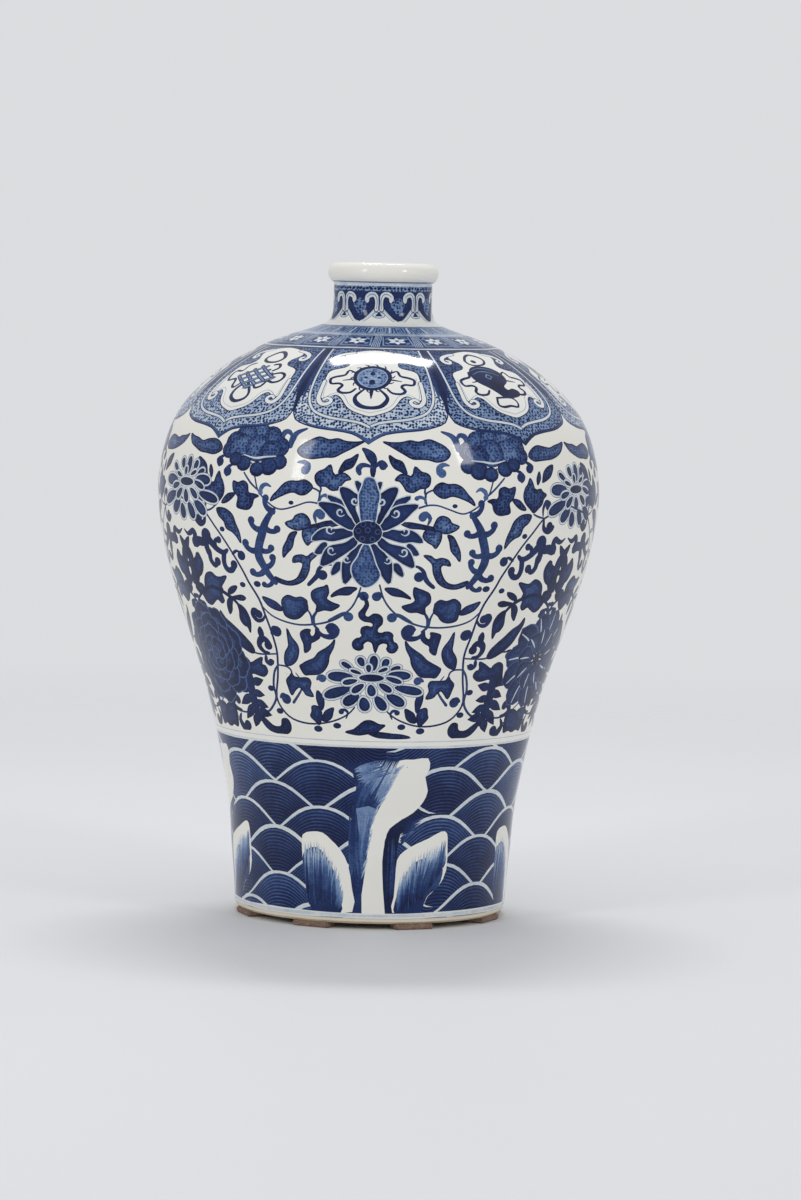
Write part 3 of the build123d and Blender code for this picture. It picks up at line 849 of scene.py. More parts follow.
# on each column's axis: the small upright leaf with its two hooks, and the two leaves at the scroll's foot
upright_leaf = ((0, 231.5), (-0.6, 235), (-0.5, 238.5), (-1.5, 241), (-2.2, 243.8), (-2.9, 246.4),
                (-1.2, 245.6), (0.2, 243.8), (0.8, 241), (0.6, 238.5), (0.6, 235))
left_hook = ((0, 236.8), (-1.6, 237.9), (-3, 237.7), (-3.7, 235.8), (-3.4, 234))
right_hook = ((0, 235.8), (1, 238.2), (2.2, 239.4), (3.2, 238))
left_foot_leaf = ((-8.2, 98.9), (-5.4, 100.3), (-3.5, 102.6), (-1.6, 104.9), (0.7, 105.3), (3.4, 103.4),
                  (5.5, 103), (4.2, 101.1), (3, 99.5), (1.5, 98.8), (-1.6, 98), (-4, 97.6))
right_foot_leaf = ((-0.4, 98.8), (3.4, 99.2), (8.4, 98.4), (11.5, 98), (14.6, 96.5), (10, 96), (5.4, 96.2),
                   (2.3, 96.8))
for turn in range(3):
    axis = -1.5 + 120 * turn
    for way in (1, -1):
        foliage(axis, way)
        bud_peony((axis + way * 32.2, 243.5), way)
    form(turned_to(axis, 1, upright_leaf), 0.66, edge=0.5)
    hook(turned_to(axis, 1, left_hook), 2.4, 0.7)
    hook(turned_to(axis, 1, right_hook), 2.2, 0.76, (axis + 2.5, 237.6), 1.8)
    composite((axis - 1.0, 204.8))
    chrysanthemum((axis + 0.6, 128.2), 1.0)
    bracket((axis + 1.6, 141.7))
    chrysanthemum((axis + 63, 225.3), 1.05)
    if turn == 2:
        peony((axis + 62, 136), 25.5)
    else:
        trumpet((axis + 62.6, 136), 24.5)
    form(turned_to(axis, 1, left_foot_leaf), 0.74)
    form(turned_to(axis, 1, right_foot_leaf), 0.8)


# The wave band: rolling waves round the foot, each an arched crest left white over a dark wash that
# is combed with finer arcs, and four groups of tall and small rocks that stand in them.
# degrees from a crest to the wave's end, and millimetres that its back falls and its body goes on below
wave_width = 22.5
crest_drop = 15.5
wave_body = 11
crest_power = 1.25
crest_pieces = 8
# how many millimetres under its crest a wave's finer arcs are counted
ripple_reach = 20
band_top = 91.0
band_foot = 5.0


def hoop(low, high, strength, wobble=0.12, grain=0.0):
    """A band of blue all the way round, its edges a little uneven."""
    step = 15
    ways = [(hand.uniform(-wobble, wobble), hand.uniform(-wobble, wobble)) for n in range(360 // step)]
    ways.append(ways[0])
    under = [(step * n, low + way[0]) for n, way in enumerate(ways)]
    over = [(step * n, high + way[1]) for n, way in enumerate(ways)]
    lay(under + over[::-1], strength, grain=grain)


def shape(points, strength, turns=3, **finish):
    """A filled form with a smooth edge."""
    lay(flowing(points, closed=True, turns=turns), strength, **finish)


def crest(peak_angle, peak, sink):
    """The line of a wave's back, or a line that much below it."""
    line_up = []
    for n in range(-crest_pieces, crest_pieces + 1):
        share = abs(n / crest_pieces)
        off = wave_width * 1.12 * n / crest_pieces
        rise = math.sin(math.pi / 2 * share ** crest_power) ** 2
        steep = (1 + 0.42 * math.sin(math.pi * share)) * (1 - share ** 5)
        line_up.append((peak_angle + off, peak - crest_drop * rise - sink * steep))
    return line_up


def wave(peak_angle, peak):
    """One wave: its white back, then the dark wash under it with its finer arcs."""
    low = peak - crest_drop - wave_body
    cut_off = band_top + 4
    white, dark = [[(angle, min(height, cut_off)) for angle, height in crest(peak_angle, peak, sink)]
                   for sink in (0.0, hand.uniform(1.2, 1.8))]
    tone = hand.uniform(0.7, 0.86)

    def below_crest(angles, heights):
        off = np.abs((angles - peak_angle + 180) % 360 - 180) / wave_width
        back = peak - crest_drop * np.sin(np.pi / 2 * np.minimum(off, 1.3) ** crest_power) ** 2
        return np.maximum(back - heights, 0) / ripple_reach

    edges = [(white[0][0], low), (white[-1][0], low)]
    lay(edges + white[::-1], 0.1)
    lay(edges + dark[::-1], tone - 0.08, to=tone + 0.08, along=((peak_angle, peak), (peak_angle, peak - 16)),
        grain=0.25, ripple=below_crest)


hoop(band_foot - 1.5, band_top, 0.88)
odd_peaks, even_peaks = (106.0, 81.5, 56.5, 31.5, 6.5), (92.0, 68.5, 44.5, 20.5)
wave_columns = ((25, odd_peaks), (44, even_peaks), (65, odd_peaks), (87, even_peaks))
quarter_lifts = (-1, 1, 0, 3)
peaks = []
for turn, lift in enumerate(quarter_lifts):
    for away, heights_up in wave_columns:
        for peak in heights_up:
            # the tall rock at the front stands where the last of the highest waves would rise
            if (turn, away, peak) != (3, 87, 92.0):
                peak_angle = 5 + 90 * turn + away + hand.uniform(-2.0, 2.0)
                peaks.append((peak_angle, peak + lift + hand.uniform(-0.8, 0.8)))
for peak_angle, peak in sorted(peaks, key=lambda spot: -spot[1]):
    wave(peak_angle, peak)


def brushed(first, second, count, width, strength, to):
    """Strokes side by side, from places along one line to places along another."""
    for n in range(count):
        share = (n + hand.uniform(0.2, 0.8)) / count
        ends = []
        for points in (first, second):
            place = min(max(share + hand.uniform(-0.6, 0.6) / count, 0), 0.999) * (len(points) - 1)
            k = int(place)
            (a0, h0), (a1, h1) = points[k], points[k + 1]
            ends.append((a0 + (a1 - a0) * (place - k), h0 + (h1 - h0) * (place - k)))
        size = width * hand.uniform(0.6, 1.3)
        ribbon = petal_outline(ends[0], ends[1], size, hand.uniform(-0.3, 0.3), 0.35, 1.0, 0, 4)
        shift = hand.uniform(-0.08, 0.08)
        lay(ribbon, strength + shift, to=to + shift, along=(ends[0], ends[1]), grain=0.5)


# The rocks' forms, and their strokes: the line they start on and the line they end on, how many, how
# wide, and the tone at their start and end.
tall_rock_shade = ((-14, 5), (5, 5), (5, 62), (9, 85), (2, 86), (-7, 83), (-12.5, 79), (-11, 70),
                   (-12.5, 60), (-13.5, 44), (-12, 30))
tall_rock_shade_strokes = (
    (((-13.5, 5), (-3, 5)), ((-12, 66), (-4, 60)), 12, 2.4, 0.86, 0.66),
    (((-13, 24), (-4, 24)), ((-13.5, 60), (-6, 74)), 9, 2.2, 0.62, 0.9),
    (((-13, 60), (-10, 56), (-6, 53)), ((-6, 84), (0, 85), (6, 84)), 22, 2.3, 0.86, 0.4),
    (((-9, 72), (-3, 62), (0, 60)), ((-2, 84), (4, 84.5), (7, 83)), 14, 1.8, 0.5, 0.2),
    (((-12, 80), (-10, 72)), ((-2, 85), (3, 78)), 8, 1.6, 0.32, 0.62),
)
pale_facet = ((-11, 59), (-6, 60.5), (-3, 59), (-5, 48), (-6, 36), (-8, 30))
pale_facet_strokes = (
    (((-10, 34), (-7, 30)), ((-9, 59), (-4, 57)), 6, 2.0, 0.66, 0.4),
)
tall_rock = ((-8, 5), (-7.2, 26), (-6.0, 38), (-5.2, 49), (-2.5, 58), (0.4, 66), (2.2, 74), (3.6, 79),
             (4.8, 84.5), (10, 85), (15.6, 85.6), (16.3, 80), (15.2, 75.5), (16.6, 68.5), (15.0, 62.5),
             (11.6, 57.2), (7.4, 54.0), (2.4, 49), (0.6, 43), (-0.2, 32), (0.4, 18), (1.4, 5))
tall_rock_strokes = (
    (((-8.5, 22), (-6, 44), (-4.5, 56)), ((-6.4, 30), (-4.4, 48), (-2.0, 62)), 9, 1.1, 0.45, 0.06),
    (((-4, 58), (1.5, 72), (3.5, 80)), ((1.0, 66), (4.4, 77), (7.5, 84)), 14, 1.3, 0.42, 0.04),
)
deep_shadow = ((1.4, 5), (0.4, 18), (-0.2, 32), (0.6, 43), (2.6, 49.4), (7.4, 54.2), (9.4, 52), (6.6, 46),
               (5.6, 38), (6.4, 26), (6.6, 5))
deep_shadow_strokes = (
    (((1.8, 5), (6.4, 5)), ((1.4, 46), (6.4, 44)), 5, 1.0, 0.94, 0.66),
    (((6.0, 40), (6.6, 46), (9, 51)), ((10.5, 46), (14, 50), (16.5, 56)), 11, 1.3, 0.86, 0.6),
)
right_rock = ((4.6, 6), (4.9, 14), (5.4, 24), (5.8, 33), (8.4, 37.5), (13.5, 41), (19.0, 44), (24.0, 47),
              (26.6, 46), (27.4, 40), (27.4, 27), (24.4, 19), (19.5, 14), (15.5, 6))
right_rock_wash = ((5.6, 5), (6.2, 14), (8.2, 22), (11.0, 29), (15.2, 33), (20, 33.6), (23.4, 30.0),
                   (25.8, 27.5), (24.4, 19), (19.5, 14), (15.5, 5))
right_rock_strokes = (
    (((6.4, 6), (14, 8), (21, 20), (26, 28)),
     ((7.2, 24), (12.4, 34.5), (18.5, 39.6), (23.2, 40.4), (26.4, 38)), 34, 2.3, 0.8, 0.1),
    (((8, 6), (16, 10), (24, 24)), ((8.2, 21), (14.4, 31.5), (22.4, 34.5), (26.2, 35)), 16, 1.9, 0.96, 0.45),
    (((23.6, 24), (25.4, 30)), ((24.4, 42.5), (26.8, 43)), 6, 1.3, 0.8, 0.3),
)
left_rock = ((-12, 6), (-12.2, 18), (-14.0, 30), (-17.0, 37.5), (-21.0, 42.5), (-24.5, 45.8), (-29, 46),
             (-33.0, 44), (-33.4, 37), (-32.6, 28), (-30, 18), (-27, 6))
left_rock_wash = ((-17, 5), (-17.4, 14), (-19.4, 25), (-22.4, 33), (-26.6, 38), (-31, 37), (-33.2, 33),
                  (-32.6, 24), (-29, 5))
left_rock_strokes = (
    (((-31, 8), (-24, 8), (-18, 6)),
     ((-32.8, 40.6), (-27.2, 42), (-22.4, 37.5), (-17.6, 27), (-15.4, 14)), 26, 2.5, 0.84, 0.12),
    (((-31, 10), (-20, 7)), ((-31.6, 37), (-25, 37), (-19.6, 26)), 12, 1.9, 0.95, 0.5),
)


def rocks(axis):
    """A tall white rock with a shaded side, and a small white-crested rock on each side of it."""
    def spots(points):
        return [(axis + angle + hand.uniform(-0.15, 0.15), height) for angle, height in points]

    def strokes(rows):
        for first, second, count, width, strength, to in rows:
            brushed(spots(first), spots(second), count, width, strength, to)

    lay(spots(tall_rock_shade), 0.82)
    strokes(tall_rock_shade_strokes)
    lay(spots(pale_facet), 0.6, to=0.42, along=spots(((-9, 34), (-7, 59))), grain=0.5)
    strokes(pale_facet_strokes)
    shape(spots(tall_rock), 0.0, turns=2)
    strokes(tall_rock_strokes)
    lay(spots(deep_shadow), 0.94)
    strokes(deep_shadow_strokes)
    shape(spots(right_rock), 0.0, turns=2)
    shape(spots(right_rock_wash), 0.84, to=0.6, along=spots(((15, 6), (17, 33))), grain=0.3)
    strokes(right_rock_strokes)
    shape(spots(left_rock), 0.0, turns=2)
    shape(spots(left_rock_wash), 0.86, to=0.62, along=spots(((-24, 6), (-25, 38))), grain=0.3)
    strokes(left_rock_strokes)


for turn in range(4):
    rocks(5 + 90 * turn)
hoop(glaze_line_height, band_foot + 0.5, 0.03, wobble=0.3)
hoop(3.4, 4.9, 0.13, wobble=0.2)
hoop(band_top - 0.2, 95.7, 0.0, wobble=0.25)
hoop(91.0, 92.0, 0.1)
hoop(94.1, 94.5, 0.2, wobble=0.05)


# The shoulder's lappets: eight hanging panels with a stippled double border, each with one of the
# eight lucky emblems, tied with ribbons, on a white ground between cloud scrolls.
first_lappet = -2.9
lappet_edge = ((22.6, 266), (21.2, 260.5), (18, 257.8), (14, 256), (9, 255), (4.6, 253.6), (2, 251.2),
               (0, 248.6))
lappet_line = ((20.2, 316), (19.9, 300), (19.6, 285), (19.0, 275), (17.5, 268.6), (15.2, 264.8),
               (11, 262.2), (6, 260.9), (2.4, 259.6), (0, 257.4))
panel_edge = ((0, 314.5), (5, 313.6), (9.6, 311.6), (12.4, 308.8), (11.6, 305.6), (9.6, 302.6),
              (9.2, 299.6), (10.6, 297.2), (13.6, 295.6), (15.6, 293.6), (16.0, 290), (16.0, 283),
              (15.8, 276.6), (14.6, 273.6), (12.6, 275.2), (11.0, 276.6), (9.2, 275), (8.0, 272),
              (6.8, 269), (5.0, 266.6), (2.5, 264.8), (0, 263.6))
cloud_scrolls = (
    ((16.0, 286), (16.1, 278), (15.9, 273.4), (14.4, 270.2), (12.4, 270.8), (11.9, 273.0), (13.2, 274.2),
     (14.2, 273.0)),
    ((9.0, 311.4), (12.6, 310.2), (15.2, 308.4), (16.4, 305.8), (15.6, 303.2), (13.8, 302.8), (13.2, 304.6),
     (14.4, 305.4)),
)
inner_line = ((14.9, 290), (14.9, 279), (14.4, 274.2), (12.6, 276.6), (10.2, 278.0), (8.0, 275.6),
              (6.6, 271.2), (4.2, 267.8), (0, 265.6))


def both_sides(axis, points):
    """A closed outline from its right half, whose places on the axis are shared by both halves."""
    return turned_to(axis, 1, points) + turned_to(axis, -1, [spot for spot in points[::-1] if spot[0] > 0.01])


def edging(axis, way, points, widths, strength, turns=2):
    """A line of a border, on one side of its axis."""
    line(turned_to(axis, way, points), widths, strength, turns=turns)


def stroke(axis, way, points, widths, strength=0.88, turns=3):
    """A brush line of an emblem, drawn with a fuller brush than the borders are."""
    line(turned_to(axis, way, points), [1.45 * width for width in widths], strength, turns=turns, grain=0.4)


def loop(axis, points, width):
    """A closed ribbon or ring drawn as one line."""
    stroke(axis, 1, points + points[:1], (width, width * 1.2, width * 0.9, width))


def ribbons(axis):
    """The tied ribbon whose ends wave out at both sides of an emblem."""
    ribbon = ((6.0, 293), (8.6, 295), (9.6, 291.2), (12.2, 289.8), (14.1, 288), (13.5, 284.4),
              (10.8, 284.6), (9.6, 283), (10.6, 280), (9.3, 278.0), (6.6, 278.4), (5.1, 281))
    for way in (1, -1):
        stroke(axis, way, ribbon, (0.7, 1.1, 1.0, 1.2, 0.8))
        stroke(axis, way, ((9.8, 287), (8, 287.6), (6.2, 288.2)), (0.4, 0.9))


def wheel(axis):
    hub = (axis, 289.6)
    for n in range(14):
        turn = math.tau * n / 14
        ray = [shifted(hub, far * math.cos(turn + bend), far * math.sin(turn + bend))
               for far, bend in ((8.2, 0), (10.2, 0.02), (11.2, 0.16))]
        line(ray, (1.3, 0.9, 0.4), 0.84, turns=2)
    rings = ((9.7, 0.92, 24, 0.3), (7.7, 0.3, 22, 0), (7.1, 0.5, 22, 1.2), (4.4, 0.34, 16, 0.8))
    for radius, strength, sides, dots in rings:
        disc(hub, radius, strength, sides=sides, grain=dots)
    for across, up, size in ((0, 3.1, 1.6), (0, -3.4, 2.0), (3.3, 0, 1.0), (-3.3, 0, 1.0)):
        disc(shifted(hub, across, up), size, 0.92, squash=0.8, sides=9, turn=90 if across == 0 else 0)
    tie = ((-1.8, 281.6), (-3.2, 279.2), (-4.8, 275.6), (-4.4, 272), (-2.6, 269.4), (0, 268.6),
           (2.8, 269.4), (4.5, 272.4), (4.9, 275.6), (3.3, 279.4), (2.0, 281.6))
    stroke(axis, 1, tie, (0.6, 1.1, 1.9, 1.4, 1.8, 1.1, 0.6))
    stroke(axis, 1, ((0, 280.6), (0, 277.5), (0, 274.4)), (1.6, 1.1, 0.3))


def conch(axis):
    shell = ((-8.6, 294.5), (-6, 299), (-1.5, 300.3), (3, 299), (6, 295.5), (6.8, 291), (5.5, 287),
             (2.6, 284), (3.2, 281.5), (5.5, 282.4), (7.6, 280.5), (7.0, 277.5), (3.5, 275.8), (-0.5, 276),
             (-2.5, 279.5), (-4.6, 283), (-7.6, 287), (-8.8, 291))
    shape(turned_to(axis, 1, shell), 0.95)
    whorl = [shifted((axis - 1, 291), far * math.cos(turn), far * math.sin(turn))
             for turn, far in ((0, 2.2), (1.6, 2.1), (3.1, 1.8), (4.7, 1.5), (6.2, 1.0))]
    line(whorl, (0.5, 0.7, 0.4), 0.35)
    for rise in (2.2, 5.0):
        groove = ((-7.4, 291 + rise), (-3.4, 293.4 + rise), (1.0, 292.6 + rise), (4.4, 289.8 + rise))
        stroke(axis, 1, groove, (0.2, 0.5, 0.2), 0.5)
    bow = ((-5.8, 305), (-3.6, 309), (0, 311), (4, 308.6), (4.9, 305.4), (2.5, 302), (-2, 300.8), (-5, 302))
    loop(axis, bow, 1.0)
    disc((axis - 1.6, 304.4), 1.7, 0.9, squash=0.9)
    loop(axis, ((-3.8, 276), (-4.6, 271.6), (-3, 270), (0, 270.7), (2.6, 270), (3.4, 273), (1.8, 276)), 0.9)


def umbrella(axis):
    dome = ((0, 306.5), (3, 305), (6.5, 301.5), (8.6, 297), (8.8, 294.5), (0, 294))
    tie = ((-1.2, 276.5), (-3.6, 274), (-2.4, 270.5), (0, 269.2), (2.4, 270.5), (3.6, 274), (1.2, 276.5))
    shape(both_sides(axis, dome), 0.84, grain=0.8)
    for n in range(-2, 3):
        stroke(axis, 1, ((n * 0.4, 305.6), (n * 1.9, 300.5), (n * 3.2, 295.2)), (0.3, 0.5, 0.4), 0.4)
    for n in range(-3, 4):
        leaf((axis + n * 2.6, 294.6), (axis + n * 2.6, 288.8), 2.9, body=0.6)
    disc((axis, 308.2), 1.6, 0.9)
    stroke(axis, 1, ((0, 292), (0, 280), (0, 270)), (1.4, 1.2, 1.0), turns=2)
    loop(axis, tie, 0.9)


def canopy(axis):
    shape(both_sides(axis, ((0, 308), (1.6, 305.6), (4.4, 304.4), (7.6, 301.6), (9, 299), (0, 298.4))), 0.88)
    for n, tone in enumerate((0.86, 0.5, 0.86)):
        high = 298.4 - 5.6 * n
        tier = ((0, high), (7.2 - 0.8 * n, high), (6.6 - 0.8 * n, high - 4.2), (0, high - 4.2))
        lay(both_sides(axis, tier), tone, grain=1.0)
        for k in range(-3, 4):
            stroke(axis, 1, ((k * 1.9, high - 0.8), (k * 1.8, high - 3.6)), (0.35, 0.35), 0.2)
    for way in (1, -1):
        stroke(axis, way, ((1.2, 282), (2.4, 277), (1.0, 272.6), (3.4, 270.0)), (1.2, 1.0, 1.2, 0.5))


def lotus(axis):
    for turn, far in ((168, 10.5), (12, 10.5), (145, 11), (35, 11), (120, 11.5), (60, 11.5), (90, 12)):
        tip = shifted((axis, 286), far * math.cos(math.radians(turn)), far * math.sin(math.radians(turn)))
        for trim, strength, dots in ((-0.44, 0.85, 0), (-0.165, 0.1, 0), (0.275, 0.78, 0.5)):
            lay(petal_outline((axis, 284.6), tip, 7.0, 0.0, 0.58, 0.8, trim, 6), strength, grain=dots)
    disc((axis, 285.2), 3.4, 0.9, squash=0.7)
    stroke(axis, 1, ((0, 283), (1, 278), (-1, 273), (0.4, 268.6)), (1.1, 1.0, 0.8))
    for way in (1, -1):
        leaf((axis, 274.6), (axis + way * 5.6, 271.6), 3.6, bend=0.6 * way, body=0.66)


def treasure_vase(axis):
    jar = ((0, 303.6), (3.6, 303), (3.0, 300.6), (2.2, 298.6), (4.6, 296), (7.0, 291.6), (6.6, 286.6),
           (3.6, 281), (2.8, 279.4), (4.0, 277.4), (0, 277))
    jar_panel = ((0, 296.0), (3.2, 294.6), (5.2, 291.2), (4.8, 287.2), (2.4, 283.2), (0, 282.6))
    shape(both_sides(axis, jar), 0.88)
    shape(both_sides(axis, jar_panel), 0.4, grain=1.2)
    for turn in range(5):
        bend = math.radians(90 + 72 * turn)
        disc(shifted((axis, 289.6), 2.2 * math.cos(bend), 2.2 * math.sin(bend)), 1.3, 0.9, sides=8)
    loop(axis, ((-2.4, 304), (-3.6, 307.2), (0, 309.6), (3.6, 307.2), (2.4, 304)), 0.9)
    loop(axis, ((-1.6, 276), (-3.6, 273), (-2.0, 269.8), (2.0, 269.8), (3.6, 273), (1.6, 276)), 0.9)


def two_fish(axis):
    fish = ((3.4, 303), (6.4, 297.6), (6.8, 290.8), (3.8, 284), (0.4, 279.6), (0.8, 285.6), (1.4, 292.6),
            (1.6, 299.4))
    for way in (1, -1):
        shape(turned_to(axis, way, fish), 0.86, grain=0.5)
        for n in range(5):
            scale_line = ((2.0, 297.6 - 3 * n), (3.6, 296.2 - 3 * n), (5.4, 297.0 - 3 * n))
            stroke(axis, way, scale_line, (0.3, 0.45, 0.3), 0.36)
        leaf((axis + way * 1.0, 280.6), (axis + way * 4.6, 273.8), 3.0, body=0.8)
        leaf((axis + way * 0.6, 280.4), (axis + way * 0.4, 272.2), 2.6, body=0.8)
        disc((axis + way * 3.6, 300.6), 0.7, 0.1)
    loop(axis, ((-2.2, 304), (-4.2, 307), (0, 310), (4.2, 307), (2.2, 304)), 1.0)


def endless_knot(axis):
    upper_loop = ((-5.1, 304), (-2.6, 308.5), (0.4, 309.5), (3.4, 307), (4.9, 303.5), (2.9, 300),
                  (-1.6, 299.5), (-4.6, 301.5))
    left_ribbon = ((-7, 298), (-9.6, 295.6), (-10.1, 291), (-13.6, 290.6), (-14.1, 287), (-12.6, 283.2),
                   (-9.6, 284.6), (-8.1, 283.2), (-7.2, 279.6), (-5.6, 278.6), (-4.0, 282))
    right_ribbon = ((6.5, 289), (10.4, 291), (12.9, 289), (12.4, 285), (9.9, 283.4), (7.4, 284.4),
                    (6.4, 280.6), (4.4, 279), (2.9, 281))
    lower_loop = ((-1.4, 283.6), (-3.8, 277.6), (-3.4, 272.4), (-0.2, 269.6), (3.0, 271.6), (3.4, 275.4),
                  (1.2, 280))
    loop(axis, upper_loop, 1.3)
    stroke(axis, 1, left_ribbon, (0.8, 1.1, 1.1, 1.2, 0.9))
    stroke(axis, 1, ((4, 297.4), (6.4, 298), (7.6, 295), (5.9, 292.4)), (1.0, 1.2, 1.0))
    stroke(axis, 1, right_ribbon, (0.9, 1.2, 1.1, 1.2, 0.9))
    loop(axis, lower_loop, 1.3)
    for n in (-1.5, -0.5, 0.5, 1.5):
        for way in (1, -1):
            cord = turned_to(axis, way, ((-5.2 + 2.5 * n, 291.4 + 2.9 * n), (4.2 + 2.5 * n, 283.2 + 2.9 * n)))
            line(cord, (2.2, 2.2), 0.86)
            line(cord, (1.0, 1.0), 0.4)


# each lappet's emblem, and how much darker its ground is than the palest one's
lappets = ((wheel, 0.0), (conch, 0.2), (umbrella, 0.1), (canopy, 0.16), (lotus, 0.04), (treasure_vase, 0.14),
           (two_fish, 0.08), (endless_knot, 0.06))
hoop(266, 318.2, 0.88)
for turn, (emblem, darker) in enumerate(lappets):
    axis = first_lappet + 45 * turn
    border = both_sides(axis, [(20.4, 316), (20.4, 285), *flowing(lappet_edge, turns=3)])
    lay(border, 0.44 + darker, grain=1.8)
    for way in (1, -1):
        edging(axis, way, ((22.5, 316), (22.5, 290), (22.6, 266)), (3.4, 3.0, 1.6), 0.93, turns=1)
        edging(axis, way, ((21.2, 316), (20.9, 290), (20.8, 272)), (1.6, 2.4, 0.6), 0.74 + darker / 2,
               turns=1)
        edging(axis, way, [(a * 0.994, h + 0.2) for a, h in lappet_edge], (0.7, 0.8, 0.8, 1.0), 0.84)
        within_edge = [(a * 0.984, h + 1.0) for a, h in lappet_edge[1:]]
        edging(axis, way, within_edge, (0.4, 0.9, 1.0, 2.0), 0.62 + darker)
    ground = both_sides(axis, flowing(lappet_line, turns=3))
    lay(ground, 0.74 + darker, to=0.46 + darker, along=((axis, 302), (axis, 264)), grain=1.8)
    for way in (1, -1):
        edging(axis, way, lappet_line, (1.6, 2.0, 2.2, 2.0), 0.8, turns=3)
        edging(axis, way, lappet_line, (0.8, 1.1, 1.3, 1.2), 0.1, turns=3)
    panel_rim = [(a * 1.03, h - 0.5 if h < 290 else h + 0.5) for a, h in panel_edge]
    shape(both_sides(axis, panel_rim), 0.9, turns=2)
    shape(both_sides(axis, panel_edge), 0.02, turns=2)
    for way in (1, -1):
        for scroll in cloud_scrolls:
            edging(axis, way, scroll, (2.4, 3.0, 2.6, 2.0), 0.9, turns=3)
            edging(axis, way, scroll, (1.7, 2.2, 1.8, 1.3), 0.05, turns=3)
        edging(axis, way, inner_line, (0.2, 0.35, 0.35, 0.3), 0.3)
    if emblem is not endless_knot:
        ribbons(axis)
    emblem(axis)


# The bands round the neck root and the neck: flowers between hatched bars, a pale fret, and on the
# neck a dark ground with pendants between pale forms that spread at head and foot.
hoop(315.2, 318.4, 0.9)
hoop(316.6, 317.8, 0.16, wobble=0.3)
hoop(318.4, 334.2, 0.8, grain=0.5)
for n in range(16):
    axis = 8.6 + 22.5 * n
    for half, low, high, strength, dots in ((8.2, 320.4, 332.6, 0.34, 0.0), (7.4, 321.0, 332.0, 0.84, 0.6)):
        frame_corners = ((-half, low), (half, low), (half, high), (-half, high))
        lay(turned_to(axis, 1, frame_corners), strength, grain=dots)
    for turn in range(6):
        bend = math.radians(30 + 60 * turn)
        tip = shifted((axis, 326.6), 5.2 * math.cos(bend), 4.6 * math.sin(bend))
        leaf((axis, 326.6), tip, 3.0, rim=0.3, body=0.08, to=0.04)
    disc((axis, 326.6), 1.0, 0.7, sides=8)
    for way in (1, -1):
        leaf(*turned_to(axis, way, ((4.4, 322.4), (7.0, 324.8))), 1.7, rim=0.4, body=0.14)
        leaf(*turned_to(axis, way, ((4.0, 331.0), (7.0, 328.6))), 1.7, rim=0.4, body=0.14)
    for k in range(-2, 3):
        place = axis + 11.25 + k * 0.95
        line([(place - 0.7, 319.2), (place + 0.7, 333.4)], (0.4, 0.4), 0.26)
hoop(333.8, 336.4, 0.2)
hoop(334.8, 335.2, 0.6, wobble=0.05)
hoop(336.4, 347.2, 0.36, grain=0.4)
key = ((-5.4, 338.2), (-5.4, 345.6), (0.6, 345.6), (0.6, 339.8), (-3.2, 339.8), (-3.2, 343.6),
       (-1.4, 343.6), (-1.4, 341.8))
for n in range(24):
    axis = 1.0 + 15 * n
    line(turned_to(axis, 1, key), (0.75, 0.75), 0.78, turns=1)
    for k, tone in enumerate((0.76, 0.12, 0.76)):
        line([(axis + 2.4 + 2.1 * k, 338.2), (axis + 3.6 + 2.1 * k, 345.6)], (0.6, 0.6), tone)
hoop(346.8, 347.6, 0.5, wobble=0.1)

hoop(347.6, 353.4, 0.03)
hoop(352.6, 370.2, 0.84, grain=0.7)
hoop(367.6, 370.2, 0.5, wobble=0.3, grain=1.4)
white = ((0, 360.4), (2.4, 360.2), (4.6, 358.2), (8.4, 356.2), (13.0, 354.2), (17.6, 352.6), (20.4, 351.8),
         (20.4, 350), (0, 350))
foot_line = ((2.2, 361), (4.0, 358.8), (8.6, 356.4), (13.4, 354.2), (18.0, 352.4), (22.5, 351.9))
head = ((3.0, 358.4), (2.2, 361.4), (2.8, 364.0), (5.6, 365.8), (10.2, 365.8), (13.8, 364.6), (14.2, 362.8))
cup = ((-4.2, 354.8), (4.2, 354.8), (1.6, 356.4), (0, 357.4), (-1.6, 356.4))
pendant = ((-9, 361), (-4, 363.6), (2, 364), (8, 361.4), (5, 357.4), (0, 355.4), (-5, 357.6))
for turn in range(8):
    axis = -4.2 + 45 * turn
    lay(both_sides(axis, white), 0.03)
    for way in (1, -1):
        edging(axis, way, [(a + 0.8, h + 0.6) for a, h in foot_line], (0.5, 0.9, 1.0, 1.4), 0.94)
        edging(axis, way, foot_line, (1.0, 1.1, 0.9, 0.7), 0.14)
        edging(axis, way, [(a - 1.4, h - 0.7) for a, h in foot_line[1:-1]], (0.2, 0.3, 0.3), 0.5)
        edging(axis, way, head, (2.8, 3.2, 3.7, 3.2), 0.95, turns=3)
        edging(axis, way, head, (1.9, 2.2, 2.7, 2.2), 0.1, turns=3)
        edging(axis, way, [(a, h + 0.1) for a, h in head[:6]], (0.25, 0.4, 0.4, 0.3), 0.5)
    edging(axis, 1, ((0, 365.2), (0, 362), (0, 358.8)), (1.0, 0.5, 0.8), 0.78, turns=1)
    disc((axis, 355.4), 3.4, 0.5, squash=0.52, sides=14)
    disc((axis, 355.4), 3.0, 0.12, squash=0.46, sides=14)
    lay(turned_to(axis, 1, cup), 0.84)
    shape(turned_to(axis + 22.5, 1, pendant), 0.6, grain=1.4)
for n in range(80):
    dot = (4.5 * n + hand.uniform(-0.5, 0.5), 369.0 + hand.uniform(-0.2, 0.2))
    disc(dot, hand.uniform(0.6, 0.85), 1.0, sides=7)
hoop(370.2, 372.2, 0.12, wobble=0.1)
hoop(372.2, 373.2, 0.42, wobble=0.08)
hoop(373.2, 377.0, 0.0, wobble=0.05)


